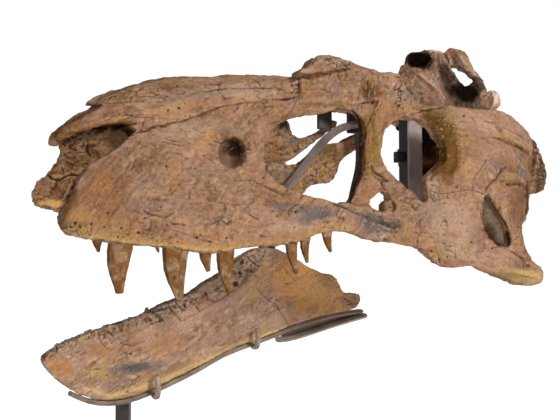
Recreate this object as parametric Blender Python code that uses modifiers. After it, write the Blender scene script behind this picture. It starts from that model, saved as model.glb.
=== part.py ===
"""Dinosaur skull fossil (Tyrannosaurus rex) held on a welded steel stand.

Run with: blender --background --python part.py

Skull coordinates, in metres: X runs back from the snout, Y is negative on the
skull's left side, and Z is the height above the upper tooth line.
"""

import math

import bmesh
import bpy
from mathutils import Vector

# ---- Driving sizes, metres ----
TOOTH_LINE_HEIGHT = 0.80
SKULL_MIDDLE_X = 0.670
SKULL_MIDDLE_Y = -0.055
SUTURE_GAP = 0.0006
FIT_GAP = 0.0004

BASE_SIZE = (1.38, 0.67, 0.012)
TUBE_SIDE = 0.048
BEAM_SIDE = 0.040
LEG_RADIUS = 0.021
LEG_TOP_GAP = 0.006
FOOT_PLATE = (0.14, 0.14, 0.0096)
JAW_HOOK_RADIUS = 0.008
JAW_WEB_SPAN_Y = (0.0408, 0.0468)
JAW_STRAP_Y = 0.024
# Half width across the skull, then half thickness, of each flat bar.
JAW_STRAP_HALF = (0.016, 0.0060)
JAW_BAR_HALF = (0.016, 0.0075)
LACRIMAL_BAR_HALF = (0.012, 0.010)
CURVED_BAR_HALF = (0.013, 0.010)
JAW_STRAP_DROP = 0.0095
JAW_STRAP_FROM, JAW_STRAP_TO = 0.10, 0.95
JAW_STRAP_END = (1.020, -0.2120)
JAW_HOOKS = ((0.318, -0.392, 0.052), (0.617, -0.287, 0.050))

# The braincase against X, from its front to the condyle.
BRAINCASE_HALF_WIDTH = ((1.02, 0.050), (1.08, 0.062), (1.16, 0.060), (1.22, 0.034), (1.25, 0.030))
BRAINCASE_TOP = (
    (1.02, 0.2990),
    (1.08, 0.2980),
    (1.14, 0.2920),
    (1.19, 0.2760),
    (1.22, 0.2450),
    (1.25, 0.2400),
)
BRAINCASE_BOTTOM = ((1.02, 0.205), (1.05, 0.120), (1.16, 0.105), (1.22, 0.170), (1.25, 0.190))
BRAINCASE_SQUARENESS = 0.6
BRAINCASE_STATIONS = (1.02, 1.05, 1.09, 1.13, 1.17, 1.20, 1.22, 1.235, 1.25)
PAROCCIPITAL_SIZE = (0.035, 0.370, 0.080)
PAROCCIPITAL_MIDDLE = (1.150, -0.030, 0.250)

# The roof between the two sides, against X.
ROOF_TOP = ((0.65, 0.428), (0.70, 0.440), (0.82, 0.444), (0.92, 0.425), (1.02, 0.395))
ROOF_DEPTH = 0.050
ROOF_SIDE_GAP = 0.006
ROOF_NARROWS_X, ROOF_NARROW_BY = 0.87, 0.12
ROOF_HALF_WIDE, ROOF_NARROWING = 0.150, 0.075
ROOF_STATIONS = (0.6475, 0.68, 0.72, 0.77, 0.82, 0.86, 0.89, 0.93, 0.97, 1.005)

# Places of the stand's parts in the skull's frame.
POST_X, POST_Y = 0.983, -0.100
POST_FOOT, POST_TOP = 0.0825, 0.350
BEAM_Z = 0.062
RISER_X, FAR_BEAM_Y = 0.690, 0.220
RISER_FOOT = -0.205
SPINE_HIGH_Z, SPINE_LOW_Z = -0.236, -0.352
LEG_X, LEG_Y = 0.250, 0.160
STEEL_JOINT = 0.0005
LACRIMAL_BAR_Y = -0.137
LACRIMAL_BAR_LINE = (
    (0.793, 0.291),
    (0.796, 0.248),
    (0.796, 0.215),
    (0.792, 0.187),
    (0.782, 0.150),
    (0.772, 0.110),
    (0.766, 0.085),
)
CURVED_BAR_Y = -0.122
CURVED_BAR_LINE = (
    (0.797, 0.3135),
    (0.778, 0.3095),
    (0.751, 0.301),
    (0.723, 0.284),
    (0.689, 0.254),
    (0.653, 0.212),
    (0.618, 0.169),
    (0.585, 0.135),
)
JAW_BAR_LINE = (
    (0.712, -0.2800),
    (0.747, -0.2790),
    (0.801, -0.2705),
    (0.858, -0.2590),
    (0.915, -0.2475),
    (1.036, -0.2265),
)
JAW_WEB_TOP = (
    (0.735, -0.266),
    (0.800, -0.249),
    (0.900, -0.231),
    (1.030, -0.215),
)
# Plates and short bars of the head's brace: size, then middle.
HEAD_BRACES = {
    "stand_cross_bar": ((0.122, 0.020, 0.022), (0.8975, -0.100, 0.352)),
    "stand_lacrimal_plate": ((0.054, 0.012, 0.070), (0.8090, -0.100, 0.328)),
    "stand_roof_tab": ((0.042, 0.010, 0.084), (0.729, -0.070, 0.345)),
    "stand_stub": ((0.026, 0.018, 0.030), (0.9450, -0.100, 0.236)),
}

# Half-width of the left side wall at the tooth line and at the roof, against X.
LOW_WIDTH = (
    (-0.05, 0.040),
    (0.05, 0.095),
    (0.15, 0.128),
    (0.30, 0.152),
    (0.45, 0.168),
    (0.60, 0.190),
    (0.72, 0.222),
    (0.82, 0.268),
    (0.92, 0.322),
    (1.02, 0.358),
    (1.12, 0.372),
    (1.22, 0.362),
    (1.40, 0.325),
)
HIGH_WIDTH = (
    (-0.05, 0.015),
    (0.05, 0.022),
    (0.30, 0.034),
    (0.45, 0.040),
    (0.60, 0.070),
    (0.72, 0.120),
    (0.82, 0.175),
    (0.92, 0.232),
    (1.02, 0.268),
    (1.12, 0.275),
    (1.22, 0.255),
    (1.32, 0.220),
    (1.40, 0.210),
)
# Heights between which the wall leans inward.
WALL_FOOT = (
    (-0.05, -0.02),
    (0.60, -0.015),
    (0.82, -0.02),
    (0.92, -0.05),
    (1.12, -0.09),
    (1.22, -0.11),
    (1.40, -0.11),
)
WALL_HEAD = (
    (-0.05, 0.20),
    (0.05, 0.25),
    (0.15, 0.34),
    (0.30, 0.385),
    (0.60, 0.385),
    (0.82, 0.375),
    (0.92, 0.360),
    (1.12, 0.330),
    (1.22, 0.250),
    (1.40, 0.200),
)
# Swellings and hollows of the outer face: x, z, reach along x, reach along z, height.
SURFACE_RELIEF = (
    (0.44, 0.22, 0.10, 0.09, -0.008),
    (0.52, 0.17, 0.06, 0.06, -0.006),
    (0.80, 0.22, 0.05, 0.13, -0.010),
    (0.79, 0.42, 0.07, 0.04, 0.012),
    (0.98, 0.27, 0.06, 0.07, 0.018),
    (0.93, -0.02, 0.06, 0.05, 0.014),
    (0.62, 0.06, 0.12, 0.03, 0.010),
    (1.20, 0.29, 0.09, 0.03, 0.022),
    (1.16, 0.06, 0.05, 0.08, -0.012),
    (1.16, -0.08, 0.05, 0.03, 0.016),
    (0.16, 0.12, 0.06, 0.07, 0.006),
)
# Where the wall is stouter than its thinnest: x, z, reach along x, reach along z, more thickness.
WALL_THINNEST = 0.024
WALL_THICKENINGS = (
    (0.34, 0.20, 0.22, 4.00, 0.020),
    (0.35, 0.00, 0.35, 0.06, 0.014),
    (0.80, 0.22, 0.06, 0.20, 0.012),
    (0.97, 0.26, 0.08, 0.10, 0.010),
    (1.18, -0.08, 0.06, 0.06, 0.080),
    (1.27, 0.22, 0.10, 0.08, 0.030),
)

# Outline of the left side below the nasals, from the naris down and round to the back.
LEFT_OUTLINE = (
    (0.217, 0.265),
    (0.187, 0.237),
    (0.152, 0.209),
    (0.113, 0.183),
    (0.089, 0.154),
    (0.073, 0.116),
    (0.058, 0.091),
    (0.042, 0.060),
    (0.049, 0.028),
    (0.067, 0.016),
    (0.116, 0.010),
    (0.185, -0.002),
    (0.265, -0.008),
    (0.361, -0.022),
    (0.433, -0.016),
    (0.540, -0.005),
    (0.604, 0.009),
    (0.633, 0.022),
    (0.718, 0.029),
    (0.753, 0.011),
    (0.798, 0.001),
    (0.864, -0.008),
    (0.886, -0.028),
    (0.908, -0.050),
    (0.946, -0.060),
    (0.998, -0.058),
    (1.079, -0.089),
    (1.133, -0.106),
    (1.168, -0.107),
    (1.195, -0.099),
    (1.203, -0.080),
    (1.167, -0.043),
    (1.149, 0.000),
    (1.154, 0.047),
    (1.185, 0.085),
    (1.205, 0.130),
    (1.254, 0.134),
    (1.324, 0.166),
    (1.352, 0.199),
    (1.345, 0.240),
    (1.324, 0.284),
    (1.261, 0.308),
    (1.197, 0.341),
    (1.157, 0.352),
    (1.061, 0.349),
    (0.974, 0.353),
    (0.920, 0.362),
    (0.885, 0.396),
    (0.877, 0.436),
    (0.834, 0.443),
    (0.803, 0.457),
    (0.728, 0.450),
    (0.684, 0.437),
    (0.652, 0.429),
    (0.646, 0.382),
    (0.568, 0.368),
    (0.472, 0.351),
    (0.423, 0.335),
    (0.373, 0.312),
    (0.326, 0.295),
    (0.281, 0.281),
)
ANTORBITAL_FENESTRA = (
    (0.598, 0.314),
    (0.674, 0.332),
    (0.716, 0.340),
    (0.732, 0.351),
    (0.768, 0.339),
    (0.786, 0.315),
    (0.777, 0.246),
    (0.771, 0.190),
    (0.742, 0.140),
    (0.722, 0.102),
    (0.664, 0.108),
    (0.578, 0.134),
    (0.535, 0.165),
    (0.527, 0.206),
    (0.552, 0.276),
)
ORBIT = (
    (0.852, 0.314),
    (0.819, 0.258),
    (0.811, 0.206),
    (0.838, 0.159),
    (0.874, 0.117),
    (0.891, 0.098),
    (0.897, 0.130),
    (0.902, 0.167),
    (0.949, 0.210),
    (0.943, 0.267),
    (0.916, 0.311),
    (0.883, 0.319),
)
CHEEK_HOLE = (
    (0.805, 0.128),
    (0.815, 0.109),
    (0.802, 0.098),
    (0.799, 0.078),
    (0.784, 0.083),
    (0.768, 0.098),
    (0.782, 0.117),
)
LOWER_TEMPORAL_FENESTRA = (
    (1.045, 0.126),
    (1.032, 0.100),
    (1.024, 0.050),
    (1.040, 0.012),
    (1.087, -0.013),
    (1.100, 0.025),
    (1.075, 0.076),
    (1.055, 0.118),
)
MAXILLARY_FENESTRA = (0.443, 0.221)
MAXILLARY_FENESTRA_RADII = (0.031, 0.040)

# Joints between the bones of the left side, as lines that run past both of their ends.
SUTURES = {
    "lacrimal_maxilla": ((0.638, 0.394), (0.634, 0.366), (0.622, 0.345), (0.604, 0.322), (0.600, 0.305)),
    "jugal_maxilla": ((0.668, 0.112), (0.716, 0.083), (0.745, 0.070), (0.776, 0.052), (0.822, -0.006)),
    "lacrimal_jugal": ((0.716, 0.108), (0.740, 0.094), (0.774, 0.098)),
    "lacrimal_jugal_rear": ((0.800, 0.106), (0.830, 0.112), (0.846, 0.128), (0.862, 0.140)),
    "lacrimal_postorbital": ((0.880, 0.446), (0.872, 0.390), (0.866, 0.350), (0.868, 0.308)),
    "postorbital_jugal": ((0.890, 0.140), (0.930, 0.122), (0.985, 0.132), (1.020, 0.128), (1.046, 0.116)),
    "postorbital_squamosal": (
        (1.104, 0.358),
        (1.101, 0.278),
        (1.087, 0.244),
        (1.059, 0.210),
        (1.029, 0.178),
        (1.010, 0.146),
        (1.008, 0.124),
    ),
    "squamosal_quadratojugal": (
        (1.048, 0.116),
        (1.059, 0.150),
        (1.085, 0.167),
        (1.143, 0.172),
        (1.214, 0.120),
    ),
    "jugal_quadratojugal": ((1.080, -0.006), (1.102, -0.024), (1.140, -0.040), (1.186, -0.050)),
    "jugal_quadrate": ((1.136, -0.034), (1.128, -0.060), (1.118, -0.108)),
}
# A point inside each bone that the sutures part, at X and Z.
LEFT_BONES = {
    "maxilla_left": (0.36, 0.11),
    "lacrimal_left": (0.79, 0.30),
    "jugal_left": (0.93, 0.03),
    "postorbital_left": (0.99, 0.25),
    "squamosal_left": (1.21, 0.24),
    "quadratojugal_left": (1.11, 0.08),
    "quadrate_left": (1.16, -0.08),
}

# Left maxillary teeth: root x, root z, tip x, tip z, radius at the root.
UPPER_TEETH = (
    (0.179, 0.020, 0.173, -0.115, 0.0340),
    (0.301, 0.010, 0.310, -0.131, 0.0360),
    (0.370, 0.000, 0.378, -0.067, 0.0190),
    (0.420, 0.000, 0.431, -0.120, 0.0255),
    (0.582, 0.020, 0.597, -0.075, 0.0180),
    (0.617, 0.030, 0.622, -0.049, 0.0150),
    (0.668, 0.040, 0.680, -0.022, 0.0145),
)
# Right maxillary teeth, still growing.
UPPER_TEETH_RIGHT = (
    (0.168, 0.030, 0.172, -0.023, 0.0170),
    (0.330, 0.025, 0.336, -0.026, 0.0130),
)
TOOTH_DEPTH_IN_BONE = 0.018
TOOTH_BREADTH_SHARE = 0.80
JAW_TOOTH = (0.305, -0.205, 0.303, -0.168, 0.011)
JAW_TOOTH_Y = 0.020

# The quadrate's shaft, inside the cheek.
QUADRATE_SHAFT = (
    (1.010, 0.130),
    (1.005, 0.040),
    (1.030, -0.030),
    (1.120, -0.085),
    (1.172, -0.085),
    (1.155, -0.020),
    (1.150, 0.060),
    (1.170, 0.135),
    (1.090, 0.142),
)
QUADRATE_SHAFT_Y = -0.274

NASAL_TOP = (
    (0.026, 0.243),
    (0.031, 0.255),
    (0.049, 0.278),
    (0.077, 0.301),
    (0.112, 0.324),
    (0.143, 0.352),
    (0.173, 0.369),
    (0.215, 0.387),
    (0.268, 0.409),
    (0.340, 0.426),
    (0.405, 0.429),
    (0.457, 0.438),
    (0.525, 0.446),
    (0.655, 0.444),
)
NASAL_FOOT = (
    (0.026, 0.230),
    (0.034, 0.227),
    (0.052, 0.231),
    (0.075, 0.252),
    (0.099, 0.263),
    (0.130, 0.273),
    (0.174, 0.286),
    (0.205, 0.284),
    (0.217, 0.270),
    (0.281, 0.283),
    (0.326, 0.297),
    (0.373, 0.314),
    (0.423, 0.337),
    (0.472, 0.353),
    (0.568, 0.370),
    (0.655, 0.383),
)
# Thin edge of the right nasal, left standing where its prong broke off.
NASAL_EDGE_OUTLINE = (
    (0.120, 0.337),
    (0.123, 0.346),
    (0.160, 0.367),
    (0.195, 0.377),
    (0.205, 0.368),
    (0.160, 0.354),
)
NASAL_EDGE_HALF_DEPTH, NASAL_EDGE_Y = 0.018, 0.022
NASAL_THICKNESS = 0.024
# Where the vault turns from an arch to a fuller, flatter section.
NASAL_FLATTENS_X, NASAL_FLAT_BY = 0.50, 0.12
# Boxes cut away: the right prong, and the cleft beside the left one. Size, then middle.
NASAL_LOSSES = {
    "lost_prong": ((0.20, 0.16, 0.30), (0.026, 0.074, 0.32)),
    "nasal_cleft": ((0.05, 0.016, 0.30), (0.122, -0.010, 0.32)),
}
NASAL_STATIONS = (
    0.027,
    0.034,
    0.045,
    0.062,
    0.085,
    0.115,
    0.150,
    0.190,
    0.217,
    0.260,
    0.310,
    0.370,
    0.430,
    0.490,
    0.550,
    0.600,
    0.6435,
)

JAW_YAW = math.radians(8)
JAW_START = (0.0, 0.045, 0.0)
JAW_OUTLINE = (
    (0.031, -0.274),
    (0.050, -0.262),
    (0.068, -0.250),
    (0.114, -0.232),
    (0.156, -0.217),
    (0.221, -0.202),
    (0.303, -0.181),
    (0.331, -0.166),
    (0.429, -0.131),
    (0.462, -0.109),
    (0.499, -0.092),
    (0.552, -0.056),
    (0.600, -0.026),
    (0.645, -0.013),
    (0.700, -0.018),
    (0.778, -0.056),
    (0.861, -0.091),
    (0.895, -0.097),
    (0.918, -0.122),
    (0.937, -0.152),
    (0.996, -0.157),
    (1.001, -0.185),
    (0.979, -0.203),
    (0.887, -0.213),
    (0.788, -0.231),
    (0.704, -0.255),
    (0.624, -0.275),
    (0.528, -0.300),
    (0.448, -0.334),
    (0.363, -0.364),
    (0.309, -0.381),
    (0.245, -0.394),
    (0.197, -0.394),
    (0.148, -0.383),
    (0.103, -0.360),
    (0.071, -0.335),
    (0.052, -0.314),
    (0.035, -0.290),
)
JAW_TOP = ((0.02, -0.272), (0.20, -0.205), (0.40, -0.141), (0.62, -0.020), (0.70, -0.014), (1.02, -0.150))
JAW_BOTTOM = ((0.02, -0.285), (0.12, -0.370), (0.22, -0.396), (0.45, -0.335), (0.70, -0.256), (1.02, -0.200))
JAW_THICKNESS = 0.044
JAW_EDGE_SHARE = 0.72
JAW_THINS_X, JAW_THIN_BY, JAW_REAR_THINNING = 0.75, 0.25, 0.45
JAW_UNDER_SHARE, JAW_UNDER_ROUNDING = 0.15, 0.014
# The inner face: height share, its reach, X, its reach, depth cut. A ledge, then a groove.
JAW_RELIEF = ((0.88, 0.16, 0.25, 0.30, -0.010), (0.42, 0.16, 0.55, 0.30, 0.010))

CREST_OUTLINE = (
    (0.010, 0.520),
    (-0.012, 0.552),
    (-0.047, 0.553),
    (-0.073, 0.553),
    (-0.098, 0.543),
    (-0.134, 0.530),
    (-0.154, 0.543),
    (-0.174, 0.531),
    (-0.187, 0.510),
    (-0.206, 0.477),
    (-0.231, 0.441),
    (-0.241, 0.421),
    (-0.249, 0.401),
    (-0.248, 0.389),
    (-0.254, 0.390),
    (-0.262, 0.402),
    (-0.274, 0.404),
    (-0.283, 0.394),
    (-0.287, 0.374),
    (-0.285, 0.3590),
    (-0.272, 0.3555),
    (-0.240, 0.3560),
    (-0.190, 0.330),
    (-0.150, 0.2850),
    (-0.080, 0.2720),
    (-0.064, 0.2760),
    (-0.054, 0.2960),
    (0.000, 0.3040),
    (0.090, 0.355),
    (0.180, 0.386),
    (0.270, 0.388),
    (0.262, 0.412),
    (0.220, 0.452),
    (0.150, 0.486),
    (0.070, 0.500),
    (0.030, 0.506),
)
CREST_WINDOW = (
    (0.944, 0.494),
    (0.974, 0.478),
    (0.999, 0.455),
    (1.008, 0.441),
    (1.003, 0.434),
    (0.987, 0.430),
    (0.972, 0.444),
    (0.956, 0.472),
)
# The window slants through the crest, so its outline is in a frame turned about Z.
CREST_WINDOW_YAW = math.radians(-38)
CREST_POCKET_MIDDLE = (1.040, -0.055, 0.527)
CREST_POCKET_RADII = (0.036, 0.044, 0.029)
CREST_FACE_X = 1.030
CREST_SWEEP = 0.30
CREST_THICKNESS = 0.055
CREST_EDGE_THICKNESS = 0.0235
CREST_HALF_SPAN = 0.28
# The hollow in the left wing's face: y, z, reach in y, reach in z, depth.
CREST_HOLLOW = (-0.15, 0.40, 0.10, 0.08, 0.018)
# The parietals' ridge in front of the crest: its outline across the skull, and how far
# forward it reaches at each height.
SAGITTAL_OUTLINE = (
    (-0.118, 0.368),
    (0.118, 0.368),
    (0.112, 0.420),
    (0.080, 0.462),
    (0.040, 0.497),
    (0.000, 0.522),
    (-0.040, 0.497),
    (-0.080, 0.462),
    (-0.112, 0.420),
)
SAGITTAL_REACH = (
    (0.366, 0.120),
    (0.400, 0.100),
    (0.440, 0.068),
    (0.465, 0.043),
    (0.485, 0.021),
    (0.507, 0.009),
    (0.526, 0.002),
)
SAGITTAL_SPREAD = 0.018
SAGITTAL_THINNEST = 0.0045
SAGITTAL_GAP = 0.0032

PALATINE_OUTLINE = (
    (0.560, 0.335),
    (0.622, 0.332),
    (0.636, 0.322),
    (0.652, 0.287),
    (0.693, 0.285),
    (0.726, 0.300),
    (0.748, 0.318),
    (0.774, 0.335),
    (0.786, 0.330),
    (0.767, 0.311),
    (0.726, 0.280),
    (0.679, 0.247),
    (0.627, 0.211),
    (0.560, 0.185),
)
PALATINE_SPAN_Y = (-0.040, -0.018)
PTERYGOID_OUTLINE = (
    (0.548, 0.160),
    (0.552, 0.194),
    (0.605, 0.204),
    (0.647, 0.205),
    (0.674, 0.227),
    (0.716, 0.258),
    (0.767, 0.266),
    (0.796, 0.281),
    (0.825, 0.294),
    (0.830, 0.268),
    (0.795, 0.240),
    (0.765, 0.219),
    (0.757, 0.194),
    (0.747, 0.169),
    (0.715, 0.159),
    (0.677, 0.150),
    (0.652, 0.122),
    (0.590, 0.122),
)
PTERYGOID_SPAN_Y = (-0.092, -0.060)

HORN_OUTLINE = (
    (0.634, 0.4405),
    (0.649, 0.450),
    (0.663, 0.461),
    (0.673, 0.477),
    (0.687, 0.488),
    (0.707, 0.494),
    (0.728, 0.494),
    (0.757, 0.489),
    (0.792, 0.483),
    (0.820, 0.475),
    (0.844, 0.4625),
    (0.800, 0.4600),
    (0.765, 0.4590),
    (0.740, 0.4545),
    (0.700, 0.4450),
    (0.675, 0.4395),
    (0.655, 0.4375),
    (0.642, 0.4385),
)
HORN_SPAN_Y = (-0.116, -0.064)

PREMAXILLA_OUTLINE = (
    (0.154, 0.2775),
    (0.134, 0.2720),
    (0.120, 0.2860),
    (0.100, 0.2880),
    (0.080, 0.2800),
    (0.062, 0.2580),
    (0.053, 0.2370),
    (0.056, 0.2180),
    (0.047, 0.195),
    (0.026, 0.164),
    (0.005, 0.140),
    (-0.003, 0.122),
    (-0.004, 0.104),
    (0.006, 0.092),
    (0.028, 0.081),
    (0.080, 0.078),
    (0.170, 0.090),
    (0.225, 0.150),
    (0.232, 0.235),
    (0.214, 0.2720),
    (0.200, 0.2825),
    (0.174, 0.2840),
)
PREMAXILLA_FAR_Y = 0.062
PREMAXILLA_NEAREST_FAR_Y = 0.022
PREMAXILLA_GAP = 0.003
PREMAXILLA_TIP_X = -0.030
NARIS_FLOOR_Z, NARIS_STEP, NARIS_SEPTUM_Y = 0.195, 0.030, 0.012

RIGHT_MAXILLA_OUTLINE = (
    (0.110, 0.070),
    (0.130, 0.014),
    (0.300, 0.012),
    (0.450, 0.014),
    (0.590, 0.030),
    (0.600, 0.080),
    (0.540, 0.150),
    (0.515, 0.240),
    (0.510, 0.352),
    (0.470, 0.345),
    (0.423, 0.330),
    (0.373, 0.307),
    (0.326, 0.290),
    (0.281, 0.276),
    (0.235, 0.266),
    (0.190, 0.215),
    (0.140, 0.160),
)

BONE_TAN = (0.330, 0.215, 0.135)
BONE_OCHRE = (0.320, 0.205, 0.090)
BONE_DARK = (0.130, 0.085, 0.055)
JAW_BROWN = (0.235, 0.140, 0.080)
STEEL_DARK = (0.045, 0.036, 0.032)


# ---- Helpers ----
def clear_scene():
    for thing in list(bpy.data.objects):
        bpy.data.objects.remove(thing, do_unlink=True)


def new_collection(name):
    collection = bpy.data.collections.new(name)
    bpy.context.scene.collection.children.link(collection)
    return collection


def material(name, colour, roughness, metallic=0.0):
    made = bpy.data.materials.new(name)
    made.use_nodes = True
    shader = made.node_tree.nodes["Principled BSDF"]
    shader.inputs["Base Color"].default_value = (*colour, 1.0)
    shader.inputs["Roughness"].default_value = roughness
    shader.inputs["Metallic"].default_value = metallic
    made.diffuse_color = (*colour, 1.0)
    return made


def along(knots, x):
    """Smooth value at x through (x, value) knots."""
    if x <= knots[0][0]:
        return knots[0][1]
    if x >= knots[-1][0]:
        return knots[-1][1]
    i = max(k for k in range(len(knots) - 1) if knots[k][0] <= x)
    (x0, y0), (x1, y1) = knots[i], knots[i + 1]
    before = knots[max(i - 1, 0)]
    after = knots[min(i + 2, len(knots) - 1)]
    slope0 = (y1 - before[1]) / (x1 - before[0])
    slope1 = (after[1] - y0) / (after[0] - x0)
    step = x1 - x0
    t = (x - x0) / step
    return (
        y0 * (1 + 2 * t) * (1 - t) ** 2
        + step * slope0 * t * (1 - t) ** 2
        + y1 * t**2 * (3 - 2 * t)
        + step * slope1 * t**2 * (t - 1)
    )


def bell(distance):
    return math.exp(-(distance**2))


def ramp(share):
    """0 below 0, 1 above 1, and straight between."""
    return min(max(share, 0.0), 1.0)


def half_width(x, z):
    """How far the left side's outer face stands from the midline."""
    low, high = along(LOW_WIDTH, x), along(HIGH_WIDTH, x)
    foot, head = along(WALL_FOOT, x), along(WALL_HEAD, x)
    down = min(max((head - z) / (head - foot), 0.0), 1.0)
    width = high + (low - high) * (1 - (1 - down) ** 2)
    for at_x, at_z, reach_x, reach_z, height in SURFACE_RELIEF:
        width += height * bell(math.hypot((x - at_x) / reach_x, (z - at_z) / reach_z))
    return width


def wall_thickness(x, z):
    """Bone thickness: stout along the teeth, the lacrimal bar and the quadrate."""
    thickness = WALL_THINNEST
    for at_x, at_z, reach_x, reach_z, more in WALL_THICKENINGS:
        thickness += more * bell(math.hypot((x - at_x) / reach_x, (z - at_z) / reach_z))
    return thickness


def link(obj, collection, parent=None):
    collection.objects.link(obj)
    obj.parent = parent
    return obj


def mesh_object(name, bm, collection, parent=None):
    bmesh.ops.recalc_face_normals(bm, faces=bm.faces)
    mesh = bpy.data.meshes.new(name)
    bm.to_mesh(mesh)
    bm.free()
    return link(bpy.data.objects.new(name, mesh), collection, parent)


def as_helper(obj):
    obj.hide_render = True
    obj.display_type = "WIRE"
    return obj


def slab(name, x_range, z_range, cells, near, far, collection, parent=None):
    """Closed solid between the surfaces y = near(x, z) and y = far(x, z)."""
    bm = bmesh.new()
    columns, rows = cells
    sheets = []
    for surface in (near, far):
        sheet = []
        for i in range(columns + 1):
            x = x_range[0] + (x_range[1] - x_range[0]) * i / columns
            heights = [z_range[0] + (z_range[1] - z_range[0]) * j / rows for j in range(rows + 1)]
            sheet.append([bm.verts.new((x, surface(x, z), z)) for z in heights])
        sheets.append(sheet)
        for i in range(columns):
            for j in range(rows):
                corners = (sheet[i][j], sheet[i + 1][j], sheet[i + 1][j + 1], sheet[i][j + 1])
                bm.faces.new(corners)
    border = [(i, 0) for i in range(columns)]
    border += [(columns, j) for j in range(rows)]
    border += [(i, rows) for i in range(columns, 0, -1)]
    border += [(0, j) for j in range(rows, 0, -1)]
    for (i0, j0), (i1, j1) in zip(border, border[1:] + border[:1]):
        bm.faces.new((sheets[0][i0][j0], sheets[0][i1][j1], sheets[1][i1][j1], sheets[1][i0][j0]))
    bmesh.ops.triangulate(bm, faces=bm.faces)
    return mesh_object(name, bm, collection, parent)


def curve_object(name, points, collection, cyclic=False, smooth=True, flat=False, resolution=2):
    data = bpy.data.curves.new(name, "CURVE")
    data.dimensions = "2D" if flat else "3D"
    data.resolution_u = resolution
    spline = data.splines.new("BEZIER")
    spline.bezier_points.add(len(points) - 1)
    for knot, point in zip(spline.bezier_points, points):
        knot.co = (*point, 0.0) if flat else point
        kind = "AUTO" if smooth else "VECTOR"
        knot.handle_left_type = kind
        knot.handle_right_type = kind
    spline.use_cyclic_u = cyclic
    return link(bpy.data.objects.new(name, data), collection)


def curve_to_mesh(obj, collection, parent=None):
    """The curve's solid as a mesh object of the same name and place."""
    bpy.context.view_layer.update()
    graph = bpy.context.evaluated_depsgraph_get()
    mesh = bpy.data.meshes.new_from_object(obj.evaluated_get(graph))
    name = obj.name
    made = bpy.data.objects.new(name, mesh)
    made.matrix_world = obj.matrix_world
    bpy.data.objects.remove(obj, do_unlink=True)
    made.name = name
    bm = bmesh.new()
    bm.from_mesh(mesh)
    bmesh.ops.remove_doubles(bm, verts=bm.verts, dist=0.00001)
    bmesh.ops.recalc_face_normals(bm, faces=bm.faces)
    bm.to_mesh(mesh)
    bm.free()
    link(made, collection)
    made.parent = parent
    return made


def prism(name, outline, half_depth, collection, smooth=True, resolution=2):
    """An X-Z outline as a solid that runs along Y to both sides of y = 0."""
    obj = curve_object(name, outline, collection, True, smooth, True, resolution)
    obj.data.fill_mode = "BOTH"
    obj.data.extrude = half_depth
    obj.rotation_euler = (math.radians(90), 0, 0)
    return as_helper(curve_to_mesh(obj, collection))


def plate(name, outline, span_y, collection):
    """An X-Z outline as a visible solid between two sides."""
    obj = prism(name, outline, (span_y[1] - span_y[0]) / 2, collection)
    obj.location.y = sum(span_y) / 2
    obj.hide_render = False
    obj.display_type = "TEXTURED"
    return obj


def knife(name, line, collection):
    """A thin upright sheet along an X-Z line, as thick as a suture's gap."""
    obj = curve_object(name, line, collection, False, True, True, 2)
    obj.data.extrude = 0.6
    obj.rotation_euler = (math.radians(90), 0, 0)
    sheet = curve_to_mesh(obj, collection)
    thicken = sheet.modifiers.new("Gap", "SOLIDIFY")
    thicken.thickness = SUTURE_GAP
    thicken.offset = 0
    return as_helper(sheet)


def boolean(obj, operation, cutter, solver="EXACT"):
    """Runs the Boolean and keeps its result as the object's mesh."""
    step = obj.modifiers.new(operation.title(), "BOOLEAN")
    step.operation = operation
    step.solver = solver
    step.object = cutter
    bpy.context.view_layer.update()
    graph = bpy.context.evaluated_depsgraph_get()
    mesh = bpy.data.meshes.new_from_object(obj.evaluated_get(graph))
    obj.modifiers.clear()
    obj.data = mesh
    return obj


def keep_largest_pieces(obj, count):
    """Parts the object at its cuts and returns its largest pieces."""
    bpy.ops.object.select_all(action="DESELECT")
    bpy.context.view_layer.objects.active = obj
    obj.select_set(True)
    bpy.ops.mesh.separate(type="LOOSE")
    pieces = list(bpy.context.selected_objects)
    pieces.sort(key=lambda piece: -volume(piece))
    for crumb in pieces[count:]:
        bpy.data.objects.remove(crumb, do_unlink=True)
    return pieces[:count]


def volume(obj):
    bm = bmesh.new()
    bm.from_mesh(obj.data)
    size = abs(bm.calc_volume())
    bm.free()
    return size


def distance_to(obj, x, z):
    """Distance in side view from a point to the object's nearest face centre."""
    return min(math.hypot(face.center.x - x, face.center.z - z) for face in obj.data.polygons)


def finish(obj, name, look):
    obj.name = name
    obj.data.name = name
    obj.data.materials.clear()
    obj.data.materials.append(look)
    return obj


def tooth(name, place, y, helpers):
    """A tapering tooth, oval in section, that curves back a little between root and tip."""
    root_x, root_z, tip_x, tip_z, radius = place
    root, tip = Vector((root_x, 0, root_z)), Vector((tip_x, 0, tip_z))
    middle = root.lerp(tip, 0.50) + Vector((-0.055 * (tip - root).length, 0, 0))
    obj = curve_object(name, (root, middle, tip), helpers, resolution=3)
    for knot, share in zip(obj.data.splines[0].bezier_points, (1.0, 0.80, 0.30)):
        knot.radius = share
    obj.data.bevel_depth = radius
    obj.data.bevel_resolution = 1
    obj.data.use_fill_caps = True
    obj = curve_to_mesh(obj, helpers)
    obj.location.y = y
    obj.scale.y = TOOTH_BREADTH_SHARE
    return as_helper(obj)


def ball(name, middle, radii, helpers):
    bm = bmesh.new()
    bmesh.ops.create_uvsphere(bm, u_segments=14, v_segments=8, radius=1.0)
    bmesh.ops.scale(bm, vec=radii, verts=bm.verts)
    obj = mesh_object(name, bm, helpers)
    obj.location = middle
    return as_helper(obj)


def box(name, size, centre, collection, parent=None, bevel=0.003):
    bm = bmesh.new()
    bmesh.ops.create_cube(bm, size=1.0)
    bmesh.ops.scale(bm, vec=size, verts=bm.verts)
    obj = mesh_object(name, bm, collection, parent)
    obj.location = centre
    if bevel:
        rounding = obj.modifiers.new("Rounded edges", "BEVEL")
        rounding.width = bevel
        rounding.segments = 1
    return obj


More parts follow.
